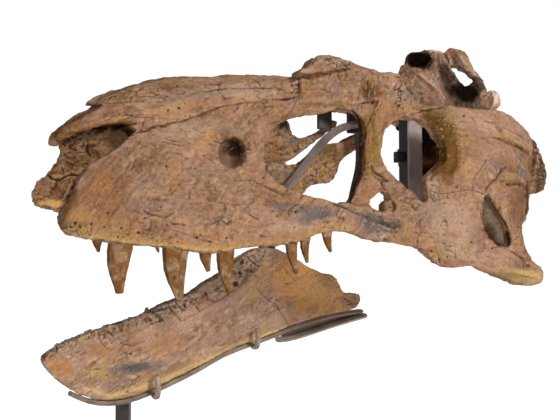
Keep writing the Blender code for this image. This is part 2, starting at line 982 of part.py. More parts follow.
def tube_between(name, start, end, side, collection, parent):
    """A square bar whose middle line runs from start to end."""
    start, end = Vector(start), Vector(end)
    run = end - start
    obj = box(name, (side, side, run.length), (start + end) / 2, collection, parent)
    obj.rotation_mode = "QUATERNION"
    obj.rotation_quaternion = run.to_track_quat("Z", "Y")
    return obj


def rod(name, points, radius, collection, parent=None, resolution=4):
    """A round rod along a smooth path."""
    obj = curve_object(name, points, collection, resolution=resolution)
    obj.data.bevel_depth = radius
    obj.data.bevel_resolution = 1
    obj.data.use_fill_caps = True
    return curve_to_mesh(obj, collection, parent)


def strip(name, line, half_width_y, half_thickness, collection, parent):
    """A flat bar on edge: its middle line lies in X-Z and its width along Y."""
    obj = curve_object(name, line, collection, False, True, True, 2)
    obj.data.dimensions = "3D"
    obj.data.fill_mode = "FULL"
    obj.data.extrude = half_width_y - half_thickness
    obj.data.bevel_depth = half_thickness
    obj.data.bevel_resolution = 0
    obj.data.use_fill_caps = True
    obj.rotation_euler = (math.radians(90), 0, 0)
    return curve_to_mesh(obj, collection, parent)


# ---- Left side of the skull ----
def build_left_side(bones, helpers, skull, looks):
    """The side wall is modelled whole, then parted along its sutures."""
    side = slab(
        "left_side",
        (-0.03, 1.39),
        (-0.13, 0.47),
        (28, 11),
        lambda x, z: -half_width(x, z),
        lambda x, z: wall_thickness(x, z) - half_width(x, z),
        bones,
    )
    boolean(side, "INTERSECT", prism("left_outline", LEFT_OUTLINE, 0.6, helpers))
    openings = {
        "antorbital_fenestra": ANTORBITAL_FENESTRA,
        "orbit_opening": ORBIT,
        "cheek_hole": CHEEK_HOLE,
        "lower_temporal_fenestra": LOWER_TEMPORAL_FENESTRA,
    }
    for name, outline in openings.items():
        boolean(side, "DIFFERENCE", prism(name, outline, 0.6, helpers))
    boolean(side, "DIFFERENCE", maxillary_fenestra_cutter(helpers))
    for name, line in SUTURES.items():
        boolean(side, "DIFFERENCE", knife(name, line, helpers))
    pieces = keep_largest_pieces(side, len(LEFT_BONES))
    for name, (x, z) in LEFT_BONES.items():
        bone = min(pieces, key=lambda piece: distance_to(piece, x, z))
        pieces.remove(bone)
        if name == "maxilla_left":
            add_teeth(bone, UPPER_TEETH, -1, helpers)
        if name == "quadrate_left":
            shaft = prism("quadrate_shaft", QUADRATE_SHAFT, 0.018, helpers)
            shaft.location.y = QUADRATE_SHAFT_Y
            boolean(bone, "UNION", shaft)
        finish(bone, name, looks["ochre" if name.startswith("quadrat") else "bone"])
        bone.parent = skull


def maxillary_fenestra_cutter(helpers):
    """A shallow oval pocket in the maxilla's outer face."""
    x, z = MAXILLARY_FENESTRA
    radius_x, radius_z = MAXILLARY_FENESTRA_RADII
    middle = (x, -half_width(x, z) - 0.003, z)
    return ball("maxillary_fenestra", middle, (radius_x, 0.027, radius_z), helpers)


def add_teeth(bone, teeth, side, helpers):
    for number, place in enumerate(teeth):
        y = side * (half_width(place[0], place[1]) - TOOTH_DEPTH_IN_BONE)
        boolean(bone, "UNION", tooth(f"{bone.name}_tooth_{number}", place, y, helpers))


def build_right_maxilla(bones, helpers, skull, looks):
    bone = slab(
        "maxilla_right",
        (0.08, 0.63),
        (-0.01, 0.40),
        (8, 6),
        lambda x, z: half_width(x, z) - wall_thickness(x, z),
        half_width,
        bones,
    )
    boolean(bone, "INTERSECT", prism("right_maxilla_outline", RIGHT_MAXILLA_OUTLINE, 0.6, helpers))
    add_teeth(bone, UPPER_TEETH_RIGHT, 1, helpers)
    finish(bone, "maxilla_right", looks["bone"]).parent = skull


# ---- Snout and roof ----
def nasal_section(x, points=7):
    """Ring of (y, z) points: the outer arch from left to right, then the inner arch back."""
    foot, top = along(NASAL_FOOT, x), along(NASAL_TOP, x)
    half = half_width(x, foot)
    rise = top - foot
    drop = min(NASAL_THICKNESS, rise * 0.45)
    inner_half = max(half - NASAL_THICKNESS, half * 0.35)
    steepness = 1.0 - 0.5 * ramp((x - NASAL_FLATTENS_X) / NASAL_FLAT_BY)
    arch = []
    for k in range(points):
        angle = math.pi * k / (points - 1)
        across = math.copysign(abs(math.cos(angle)) ** steepness, math.cos(angle))
        arch.append((-across, math.sin(angle) ** 0.7))
    ring = [(half * across, foot + rise * lift) for across, lift in arch]
    ring += [(inner_half * across, foot + (rise - drop) * lift) for across, lift in reversed(arch)]
    return ring


def loft(name, stations, section, collection):
    """Closed solid through the (y, z) rings that section(x) gives."""
    bm = bmesh.new()
    rings = [[bm.verts.new((x, y, z)) for y, z in section(x)] for x in stations]
    count = len(rings[0])
    for ring, following in zip(rings, rings[1:]):
        for k in range(count):
            n = (k + 1) % count
            bm.faces.new((ring[k], ring[n], following[n], following[k]))
    bm.faces.new(rings[0])
    bm.faces.new(rings[-1])
    bmesh.ops.triangulate(bm, faces=bm.faces)
    return mesh_object(name, bm, collection)


def build_nasals(bones, helpers, skull, looks):
    """The fused nasals: a long vault, forked in front where the right prong is lost."""
    nasals = loft("nasals", NASAL_STATIONS, nasal_section, bones)
    for name, (size, middle) in NASAL_LOSSES.items():
        cutter = as_helper(box(name, size, middle, helpers, bevel=0))
        boolean(nasals, "DIFFERENCE", cutter, "MANIFOLD")
    edge = prism("nasal_edge", NASAL_EDGE_OUTLINE, NASAL_EDGE_HALF_DEPTH, helpers)
    edge.location.y = NASAL_EDGE_Y
    boolean(nasals, "UNION", edge, "MANIFOLD")
    finish(nasals, "nasals", looks["bone"]).parent = skull


def roof_section(x):
    """Ring of the skull roof between the two sides: flat above, rounded below."""
    top = along(ROOF_TOP, x)
    if x < ROOF_NARROWS_X:
        half = half_width(x, ROOF_TOP[0][1]) - wall_thickness(x, ROOF_TOP[0][1]) - ROOF_SIDE_GAP
    else:
        half = ROOF_HALF_WIDE - ROOF_NARROWING * ramp((x - ROOF_NARROWS_X) / ROOF_NARROW_BY)
    shoulder, floor = top - ROOF_DEPTH * 0.4, top - ROOF_DEPTH
    ring = [(-half, shoulder), (-half * 0.85, top), (half * 0.85, top), (half, shoulder)]
    ring += [(half * 0.75, floor), (-half * 0.75, floor)]
    return ring


def build_roof(bones, helpers, skull, looks):
    roof = loft("frontals", ROOF_STATIONS, roof_section, bones)
    boolean(roof, "UNION", build_sagittal_rise(bones, helpers))
    finish(roof, "frontals", looks["bone"]).parent = skull
    horn = plate("horn_outline", HORN_OUTLINE, HORN_SPAN_Y, bones)
    rounding = horn.modifiers.new("Worn edges", "BEVEL")
    rounding.width = 0.006
    rounding.segments = 1
    finish(horn, "lacrimal_horn_left", looks["bone"]).parent = skull


def build_premaxilla(bones, helpers, skull, looks):
    """The broken front of the snout, a solid block inside the maxillae."""

    def near(x, z):
        inner = wall_thickness(x, z) + FIT_GAP + PREMAXILLA_GAP
        worn_tip = 0.030 * bell((x - PREMAXILLA_TIP_X) / 0.030)
        side = worn_tip - (half_width(x, z) - inner)
        into_naris = ramp((z - NARIS_FLOOR_Z) / NARIS_STEP)
        return side + (NARIS_SEPTUM_Y - side) * into_naris

    def far(x, z):
        narrow = half_width(x, z) - wall_thickness(x, z) - PREMAXILLA_GAP
        return max(min(PREMAXILLA_FAR_Y, narrow), PREMAXILLA_NEAREST_FAR_Y)

    block = slab("premaxillae", (-0.04, 0.25), (0.06, 0.30), (8, 10), near, far, bones)
    boolean(block, "INTERSECT", prism("premaxilla_outline", PREMAXILLA_OUTLINE, 0.6, helpers))
    finish(block, "premaxillae", looks["dark"]).parent = skull


# ---- Back of the skull ----
def crest_face(across, z):
    """How far back the nuchal crest's front face stands."""
    y, height, reach_y, reach_z, depth = CREST_HOLLOW
    hollow = depth * bell(math.hypot((across - y) / reach_y, (z - height) / reach_z))
    return CREST_FACE_X + CREST_SWEEP * abs(across) + hollow


def build_sagittal_rise(bones, helpers):
    """The parietals' ridge, which climbs from the roof to the crest and flares at its foot."""

    def front_x(across, z):
        reach = along(SAGITTAL_REACH, z)
        spread = SAGITTAL_SPREAD + 0.35 * (CREST_OUTLINE[0][1] - z)
        return crest_face(across, z) - SAGITTAL_THINNEST - reach * bell(across / spread)

    rise = slab(
        "sagittal_rise",
        (-0.125, 0.125),
        (0.366, 0.526),
        (8, 5),
        lambda across, z: -front_x(across, z),
        lambda across, z: SAGITTAL_GAP - crest_face(across, z),
        bones,
    )
    boolean(rise, "INTERSECT", prism("sagittal_outline", SAGITTAL_OUTLINE, 1.5, helpers))
    turn_across(rise.data)
    return as_helper(rise)


def build_crest(bones, helpers, skull, looks):
    """The nuchal crest: a plate across the skull, swept back at both wings."""

    def back_x(across, z):
        thinned = (CREST_THICKNESS - CREST_EDGE_THICKNESS) * ramp(abs(across) / CREST_HALF_SPAN)
        return CREST_FACE_X + CREST_SWEEP * abs(across) + CREST_THICKNESS - thinned

    crest = slab(
        "parietal_crest",
        (-0.32, 0.30),
        (0.28, 0.57),
        (12, 6),
        lambda across, z: -crest_face(across, z),
        lambda across, z: -back_x(across, z),
        bones,
    )
    outline = prism("crest_outline", CREST_OUTLINE, 1.5, helpers)
    boolean(crest, "INTERSECT", outline)
    turn_across(crest.data)
    window = prism("crest_window", CREST_WINDOW, 0.8, helpers)
    window.rotation_euler.z = CREST_WINDOW_YAW
    boolean(crest, "DIFFERENCE", window)
    boolean(crest, "DIFFERENCE", ball("crest_pocket", CREST_POCKET_MIDDLE, CREST_POCKET_RADII, helpers))
    finish(crest, "parietal_crest", looks["bone"]).parent = skull


def turn_across(mesh):
    """Turns a plate drawn in X-Z with depth along -Y so that it stands across the skull."""
    for vertex in mesh.vertices:
        across, depth, z = vertex.co
        vertex.co = (-depth, across, z)
    bm = bmesh.new()
    bm.from_mesh(mesh)
    bmesh.ops.recalc_face_normals(bm, faces=bm.faces)
    bm.to_mesh(mesh)
    bm.free()


def braincase_section(x):
    half = along(BRAINCASE_HALF_WIDTH, x)
    top, bottom = along(BRAINCASE_TOP, x), along(BRAINCASE_BOTTOM, x)
    middle, reach = (top + bottom) / 2, (top - bottom) / 2
    ring = []
    for k in range(10):
        angle = 2 * math.pi * (k + 0.5) / 10
        across = math.copysign(abs(math.cos(angle)) ** BRAINCASE_SQUARENESS, math.cos(angle))
        upward = math.copysign(abs(math.sin(angle)) ** BRAINCASE_SQUARENESS, math.sin(angle))
        ring.append((half * across, middle + reach * upward))
    return ring


def build_braincase(bones, helpers, skull, looks):
    """The braincase with its condyle and the two processes that reach sideways."""
    core = loft("braincase", BRAINCASE_STATIONS, braincase_section, bones)
    wings = box("paroccipital_wings", PAROCCIPITAL_SIZE, PAROCCIPITAL_MIDDLE, helpers, bevel=0.008)
    boolean(core, "UNION", as_helper(wings))
    finish(core, "braincase", looks["dark"]).parent = skull


def build_palate(bones, helpers, skull, looks):
    """Palate bones that the openings show behind the left side."""
    parts = (
        ("palatine_left", PALATINE_OUTLINE, PALATINE_SPAN_Y, "bone"),
        ("pterygoid_left", PTERYGOID_OUTLINE, PTERYGOID_SPAN_Y, "dark"),
    )
    for name, outline, span, look in parts:
        finish(plate(name, outline, span, bones), name, looks[look]).parent = skull


# ---- Lower jaw ----
def jaw_share(x, z):
    """Height of a place on the dentary: 0 at its lower edge and 1 at its upper edge."""
    top, bottom = along(JAW_TOP, x), along(JAW_BOTTOM, x)
    return (z - bottom) / (top - bottom)


def build_jaw(bones, helpers, jaw_frame, looks):
    """The right dentary, its inner face toward the left."""

    def inner(x, z):
        share = jaw_share(x, z)
        depth = JAW_UNDER_ROUNDING * ramp(1.0 - share / JAW_UNDER_SHARE)
        for middle, reach, middle_x, reach_x, cut in JAW_RELIEF:
            depth += cut * bell((share - middle) / reach) * bell((x - middle_x) / reach_x)
        return depth

    def outer(x, z):
        swelling = JAW_EDGE_SHARE + (1 - JAW_EDGE_SHARE) * math.sin(math.pi * ramp(jaw_share(x, z)))
        thinned = 1.0 - JAW_REAR_THINNING * ramp((x - JAW_THINS_X) / JAW_THIN_BY)
        return JAW_THICKNESS * thinned * swelling

    dentary = slab("dentary_right", (0.0, 1.02), (-0.41, 0.0), (17, 8), inner, outer, bones)
    boolean(dentary, "INTERSECT", prism("jaw_outline", JAW_OUTLINE, 0.4, helpers))
    boolean(dentary, "UNION", tooth("jaw_tooth", JAW_TOOTH, JAW_TOOTH_Y, helpers))
    finish(dentary, "dentary_right", looks["jaw"]).parent = jaw_frame


# ---- Stand ----
def build_stand(steel, skull, jaw_frame, floor_frame, look):
    half_beam = BEAM_SIDE / 2
    cross_start = POST_Y - TUBE_SIDE / 2
    cross_end = FAR_BEAM_Y + half_beam
    long_start = RISER_X - half_beam
    long_end = POST_X - half_beam - STEEL_JOINT
    riser_top = BEAM_Z - half_beam - STEEL_JOINT
    plate_foot = BASE_SIZE[2] + FIT_GAP - TOOTH_LINE_HEIGHT
    leg_foot = plate_foot + FOOT_PLATE[2] + STEEL_JOINT
    leg_top = SPINE_LOW_Z - half_beam - LEG_TOP_GAP
    foot_z = plate_foot + FOOT_PLATE[2] / 2
    boxes = {
        "stand_post": (
            (TUBE_SIDE, TUBE_SIDE, POST_TOP - POST_FOOT),
            (POST_X, POST_Y, (POST_TOP + POST_FOOT) / 2),
        ),
        "stand_cross_beam": (
            (BEAM_SIDE, cross_end - cross_start, BEAM_SIDE),
            (POST_X, (cross_end + cross_start) / 2, BEAM_Z),
        ),
        "stand_long_beam": (
            (long_end - long_start, BEAM_SIDE, BEAM_SIDE),
            ((long_end + long_start) / 2, FAR_BEAM_Y, BEAM_Z),
        ),
        "stand_riser": (
            (BEAM_SIDE, BEAM_SIDE, riser_top - RISER_FOOT),
            (RISER_X, FAR_BEAM_Y, (riser_top + RISER_FOOT) / 2),
        ),
        "stand_foot_plate": (FOOT_PLATE, (LEG_X, LEG_Y, foot_z)),
    }
    parts = [box("stand_base", BASE_SIZE, (0, 0, BASE_SIZE[2] / 2), steel, floor_frame, bevel=0.004)]
    for name, (size, middle) in boxes.items():
        parts.append(box(name, size, middle, steel, skull))
    spine_start = (RISER_X + half_beam, FAR_BEAM_Y, SPINE_HIGH_Z)
    spine_end = (LEG_X, LEG_Y, SPINE_LOW_Z)
    parts.append(tube_between("stand_spine", spine_start, spine_end, BEAM_SIDE, steel, skull))
    leg = ((LEG_X, LEG_Y, leg_foot), (LEG_X, LEG_Y, leg_top))
    parts.append(rod("stand_leg", leg, LEG_RADIUS, steel, skull))
    for part in parts + build_head_braces(steel, skull) + build_jaw_cradle(steel, jaw_frame):
        finish(part, part.name, look)


def build_head_braces(steel, skull):
    """Bars inside the skull that hold the lacrimal and the maxilla."""
    braces = []
    for name, (size, middle) in HEAD_BRACES.items():
        braces.append(box(name, size, middle, steel, skull, bevel=0.002))
    bar = strip("stand_lacrimal_bar", LACRIMAL_BAR_LINE, *LACRIMAL_BAR_HALF, steel, skull)
    bar.location.y = LACRIMAL_BAR_Y
    curved = strip("stand_curved_bar", CURVED_BAR_LINE, *CURVED_BAR_HALF, steel, skull)
    curved.location.y = CURVED_BAR_Y
    return braces + [bar, curved]


def build_jaw_cradle(steel, jaw_frame):
    """The strap under the jaw, the shorter bar behind it and the two hooks."""
    under = []
    for u, z in reversed(JAW_OUTLINE):
        if z < along(JAW_BOTTOM, u) + 0.02 and JAW_STRAP_FROM < u < JAW_STRAP_TO:
            under.append((u, z - JAW_STRAP_DROP))
    under.append(JAW_STRAP_END)
    strap = strip("stand_jaw_strap", under, *JAW_STRAP_HALF, steel, jaw_frame)
    bar = strip("stand_jaw_bar", JAW_BAR_LINE, *JAW_BAR_HALF, steel, jaw_frame)
    for flat in (strap, bar):
        flat.location.y = JAW_STRAP_Y
    web_outline = JAW_WEB_TOP + tuple(reversed(JAW_BAR_LINE[1:]))
    web = plate("stand_jaw_web", web_outline, JAW_WEB_SPAN_Y, steel)
    web.parent = jaw_frame
    cradle = [strap, bar, web]
    out = JAW_HOOK_RADIUS + 0.002
    for number, (x, z, reach) in enumerate(JAW_HOOKS):
        path = (
            (x, 0.0075, z - 0.003),
            (x, -0.004 - out, z - 0.002),
            (x - 0.001, -0.0125 - out, z + 0.012),
            (x - 0.004, -0.0125 - out, z + reach),
        )
        cradle.append(rod(f"stand_jaw_hook_{number + 1}", path, JAW_HOOK_RADIUS, steel, jaw_frame))
    return cradle


def build():
    clear_scene()
    bones = new_collection("Dinosaur skull fossil")
    helpers = new_collection("Cutters")
    looks = {
        "bone": material("Fossil bone", BONE_TAN, 0.82),
        "ochre": material("Fossil bone, ochre", BONE_OCHRE, 0.85),
        "dark": material("Fossil bone, dark", BONE_DARK, 0.88),
        "jaw": material("Fossil jaw", JAW_BROWN, 0.80),
    }
    steel_look = material("Blackened steel", STEEL_DARK, 0.45, 0.6)

    floor_frame = link(bpy.data.objects.new("floor_frame", None), bones)
    skull = link(bpy.data.objects.new("skull_frame", None), bones, floor_frame)
    skull.location = (-SKULL_MIDDLE_X, -SKULL_MIDDLE_Y, TOOTH_LINE_HEIGHT)
    jaw_frame = link(bpy.data.objects.new("jaw_frame", None), bones, skull)
    jaw_frame.location = JAW_START
    jaw_frame.rotation_euler = (0, 0, JAW_YAW)

    build_left_side(bones, helpers, skull, looks)
    build_right_maxilla(bones, helpers, skull, looks)
    build_nasals(bones, helpers, skull, looks)
    build_roof(bones, helpers, skull, looks)
    build_premaxilla(bones, helpers, skull, looks)
    build_crest(bones, helpers, skull, looks)
    build_braincase(bones, helpers, skull, looks)
    build_palate(bones, helpers, skull, looks)
    build_jaw(bones, helpers, jaw_frame, looks)
    build_stand(bones, skull, jaw_frame, floor_frame, steel_look)


build()
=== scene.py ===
"""Dinosaur skull fossil on its steel stand: visual model, camera, floor and light.

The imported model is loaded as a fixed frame. Every bone is remeshed, rounded, given
cracks, pits and broken texture in mesh code, and painted with procedural colour.
Skull coordinates: X back from the snout, -Y to the left side, Z above the tooth line.
Marks on the bones are placed in picture coordinates, the pixels of a 560 x 420 picture
from the camera's place, and reach only the faces that look that way.
"""

import math

import bpy
import numpy as np
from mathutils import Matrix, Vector
from mathutils.bvhtree import BVHTree


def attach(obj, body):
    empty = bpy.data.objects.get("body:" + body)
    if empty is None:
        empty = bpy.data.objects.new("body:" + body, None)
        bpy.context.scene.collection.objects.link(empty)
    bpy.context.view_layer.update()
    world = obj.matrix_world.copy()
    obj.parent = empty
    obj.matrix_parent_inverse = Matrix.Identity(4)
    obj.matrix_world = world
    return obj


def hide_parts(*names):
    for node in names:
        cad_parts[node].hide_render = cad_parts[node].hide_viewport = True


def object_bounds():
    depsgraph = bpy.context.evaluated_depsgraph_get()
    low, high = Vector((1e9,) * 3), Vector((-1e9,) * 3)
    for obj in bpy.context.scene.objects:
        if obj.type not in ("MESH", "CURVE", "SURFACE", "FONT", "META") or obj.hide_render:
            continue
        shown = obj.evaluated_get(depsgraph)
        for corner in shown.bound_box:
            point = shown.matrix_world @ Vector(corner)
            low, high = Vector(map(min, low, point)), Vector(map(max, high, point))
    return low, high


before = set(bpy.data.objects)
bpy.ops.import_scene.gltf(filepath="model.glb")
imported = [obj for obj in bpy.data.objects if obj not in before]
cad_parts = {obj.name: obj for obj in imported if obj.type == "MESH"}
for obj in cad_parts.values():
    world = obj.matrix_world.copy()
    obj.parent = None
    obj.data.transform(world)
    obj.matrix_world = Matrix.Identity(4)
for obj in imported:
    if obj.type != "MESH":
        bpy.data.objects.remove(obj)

cad_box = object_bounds()

SKULL_ORIGIN = np.array((-0.67, 0.055, 0.8))


def rgb(*parts):
    return np.array(parts)


# ---- Colours, linear ----
TAN = rgb(0.34, 0.19, 0.108)
PINK = rgb(0.39, 0.23, 0.155)
BROWN = rgb(0.2, 0.1, 0.048)
OCHRE = rgb(0.43, 0.25, 0.08)
STRAW = rgb(0.6, 0.42, 0.17)
ORANGE = rgb(0.36, 0.16, 0.05)
RUST = rgb(0.17, 0.07, 0.018)
GREY = rgb(0.26, 0.19, 0.145)
SLATE = rgb(0.15, 0.12, 0.115)
MAUVE = rgb(0.27, 0.17, 0.14)
CHALK = rgb(0.52, 0.4, 0.31)
# The next two colours also serve as painted shade in cracks, pits, hollows and shadows.
DARK = rgb(0.022, 0.011, 0.006)
DIRT_AND_SHADE = rgb(0.075, 0.034, 0.014)
OLIVE = rgb(0.15, 0.095, 0.024)
MOSS = rgb(0.2, 0.115, 0.014)
UMBER = rgb(0.105, 0.052, 0.006)
AMBER = rgb(0.5, 0.235, 0.07)
FAWN = rgb(0.38, 0.26, 0.16)
# Painted light on the quadrate's shaft.
IVORY = rgb(0.88, 0.75, 0.54)
SHADE = rgb(0.11, 0.058, 0.03)
# Painted shade behind the eye socket.
ORBIT_SHADE = rgb(0.06, 0.03, 0.012)
CLAY = rgb(0.17, 0.072, 0.022)
ASH = rgb(0.11, 0.095, 0.075)
TOOTH_BROWN = rgb(0.125, 0.052, 0.01)
TOOTH_LIGHT = rgb(0.2, 0.11, 0.048)
TOOTH_DARK = rgb(0.095, 0.034, 0.005)


# ---- Noise over points ----
def lattice(cell, seed):
    """A number from 0 to 1 for every cell corner, the same each run."""
    x, y, z = (cell[:, k].astype(np.uint32) for k in range(3))
    h = x * np.uint32(374761393) + y * np.uint32(668265263) + z * np.uint32(2246822519)
    h += np.uint32(seed * 3266489917 % 4294967296)
    h = (h ^ (h >> np.uint32(15))) * np.uint32(2654435761)
    h = (h ^ (h >> np.uint32(13))) * np.uint32(1274126177)
    return ((h ^ (h >> np.uint32(16))) & np.uint32(0xFFFFFF)).astype(np.float32) / 16777215.0


def noise(points, size, seed):
    """Smooth noise from -1 to 1 with features of that size."""
    q = points / size + 1000.5
    cell = np.floor(q).astype(np.int64)
    f = (q - cell).astype(np.float32)
    w = f * f * f * (f * (f * 6 - 15) + 10)
    total = np.zeros(len(points), np.float32)
    for corner in range(8):
        step = np.array((corner & 1, corner >> 1 & 1, corner >> 2), np.int64)
        share = np.prod(np.where(step, w, 1 - w), axis=1)
        total += share * lattice(cell + step, seed)
    return total * 2 - 1


def fractal(points, size, seed, octaves=4, gain=0.5):
    """Noise with finer and weaker noise on it, from -1 to 1."""
    total = np.zeros(len(points), np.float32)
    height, norm = 1.0, 0.0
    for k in range(octaves):
        total += height * noise(points, size / 2**k, seed + 17 * k)
        norm += height
        height *= gain
    return total / norm


def cells(points, size, seed):
    """Distance to the nearest of scattered points, over size, and that point's number."""
    q = points / size + 1000.0
    base = np.floor(q - 0.5).astype(np.int64)
    nearest = np.full(len(points), 9.0, np.float32)
    mark = np.zeros(len(points), np.float32)
    for corner in range(8):
        cell = base + np.array((corner & 1, corner >> 1 & 1, corner >> 2), np.int64)
        jitter = [lattice(cell, seed + k) for k in range(3)]
        spot = cell + 0.5 + (np.stack(jitter, 1) - 0.5) * 0.8
        distance = np.linalg.norm(q - spot, axis=1).astype(np.float32)
        closer = distance < nearest
        nearest = np.where(closer, distance, nearest)
        mark = np.where(closer, jitter[0], mark)
    return nearest, mark


def wobble(points, size, seed):
    """Three noises, one for each direction."""
    return np.stack([noise(points, size, seed + k) for k in range(3)], 1)


def smoothstep(value, low, high):
    """0 below low, 1 above high, smooth between them."""
    t = np.clip((value - low) / (high - low), 0, 1)
    return t * t * (3 - 2 * t)


def line_distance(u, v, line):
    """Distance from (u, v) to a polyline, and how far along it, from 0 to 1."""
    best = np.full(len(u), 9.0, np.float32)
    where = np.zeros(len(u), np.float32)
    runs = np.hypot(*(line[1:] - line[:-1]).T)
    start = np.concatenate([[0], np.cumsum(runs)])
    for k, run in enumerate(runs):
        a, b = line[k], line[k + 1]
        t = np.clip(((u - a[0]) * (b[0] - a[0]) + (v - a[1]) * (b[1] - a[1])) / run**2, 0, 1)
        d = np.hypot(u - a[0] - t * (b[0] - a[0]), v - a[1] - t * (b[1] - a[1]))
        closer = d < best
        best = np.where(closer, d, best)
        where = np.where(closer, (start[k] + t * run) / start[-1], where)
    return best, where


# ---- The camera and its picture plane ----
CAMERA_PLACE = np.array((-0.901, -1.793, 0.8))
CAMERA_AZIMUTH = math.radians(25.0)
CAMERA_PITCH = math.radians(2.5)
FOCAL_PIXELS = 760.0
PICTURE_WIDTH, PICTURE_HEIGHT = 560.0, 420.0
AHEAD = np.array((math.sin(CAMERA_AZIMUTH), math.cos(CAMERA_AZIMUTH), 0.0))
RIGHT = np.array((math.cos(CAMERA_AZIMUTH), -math.sin(CAMERA_AZIMUTH), 0.0))
FORWARD = AHEAD * math.cos(CAMERA_PITCH) + np.array((0.0, 0.0, math.sin(CAMERA_PITCH)))
UPWARD = np.cross(RIGHT, FORWARD)


def picture(points):
    """Picture coordinates of the points: across from the left, and down from the top."""
    away = points - CAMERA_PLACE
    depth = away @ FORWARD
    u = PICTURE_WIDTH / 2 + FOCAL_PIXELS * (away @ RIGHT) / depth
    return u, PICTURE_HEIGHT / 2 - FOCAL_PIXELS * (away @ UPWARD) / depth


# ---- A bone's surface ----
SEAM_REACH = 0.012


def other_bones(points, node):
    """Distance from each point to the nearest other bone, up to SEAM_REACH, and the way there."""
    corners, faces = [], []
    for name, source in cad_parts.items():
        if name == node or name.startswith("stand_"):
            continue
        first = len(corners)
        corners += [tuple(vertex.co) for vertex in source.data.vertices]
        faces += [tuple(first + k for k in face.vertices) for face in source.data.polygons]
    tree = BVHTree.FromPolygons(corners, faces)
    distance = np.full(len(points), SEAM_REACH)
    way = np.zeros((len(points), 3))
    for k, point in enumerate(points):
        place, _, _, gap = tree.find_nearest(point, SEAM_REACH)
        if place is not None:
            distance[k] = gap
            way[k] = (place - Vector(point)) / max(gap, 1e-6)
    return distance, way


def add_object(name, data):
    added = bpy.data.objects.new(name, data)
    bpy.context.scene.collection.objects.link(added)
    return added


def values_of(items, name, width=1, kind=np.int32):
    """One property of a mesh's items, as one row of numbers."""
    row = np.empty(len(items) * width, kind)
    items.foreach_get(name, row)
    return row


def vectors_of(items, name):
    return values_of(items, name, 3, np.float32).reshape(-1, 3).astype(np.float64)


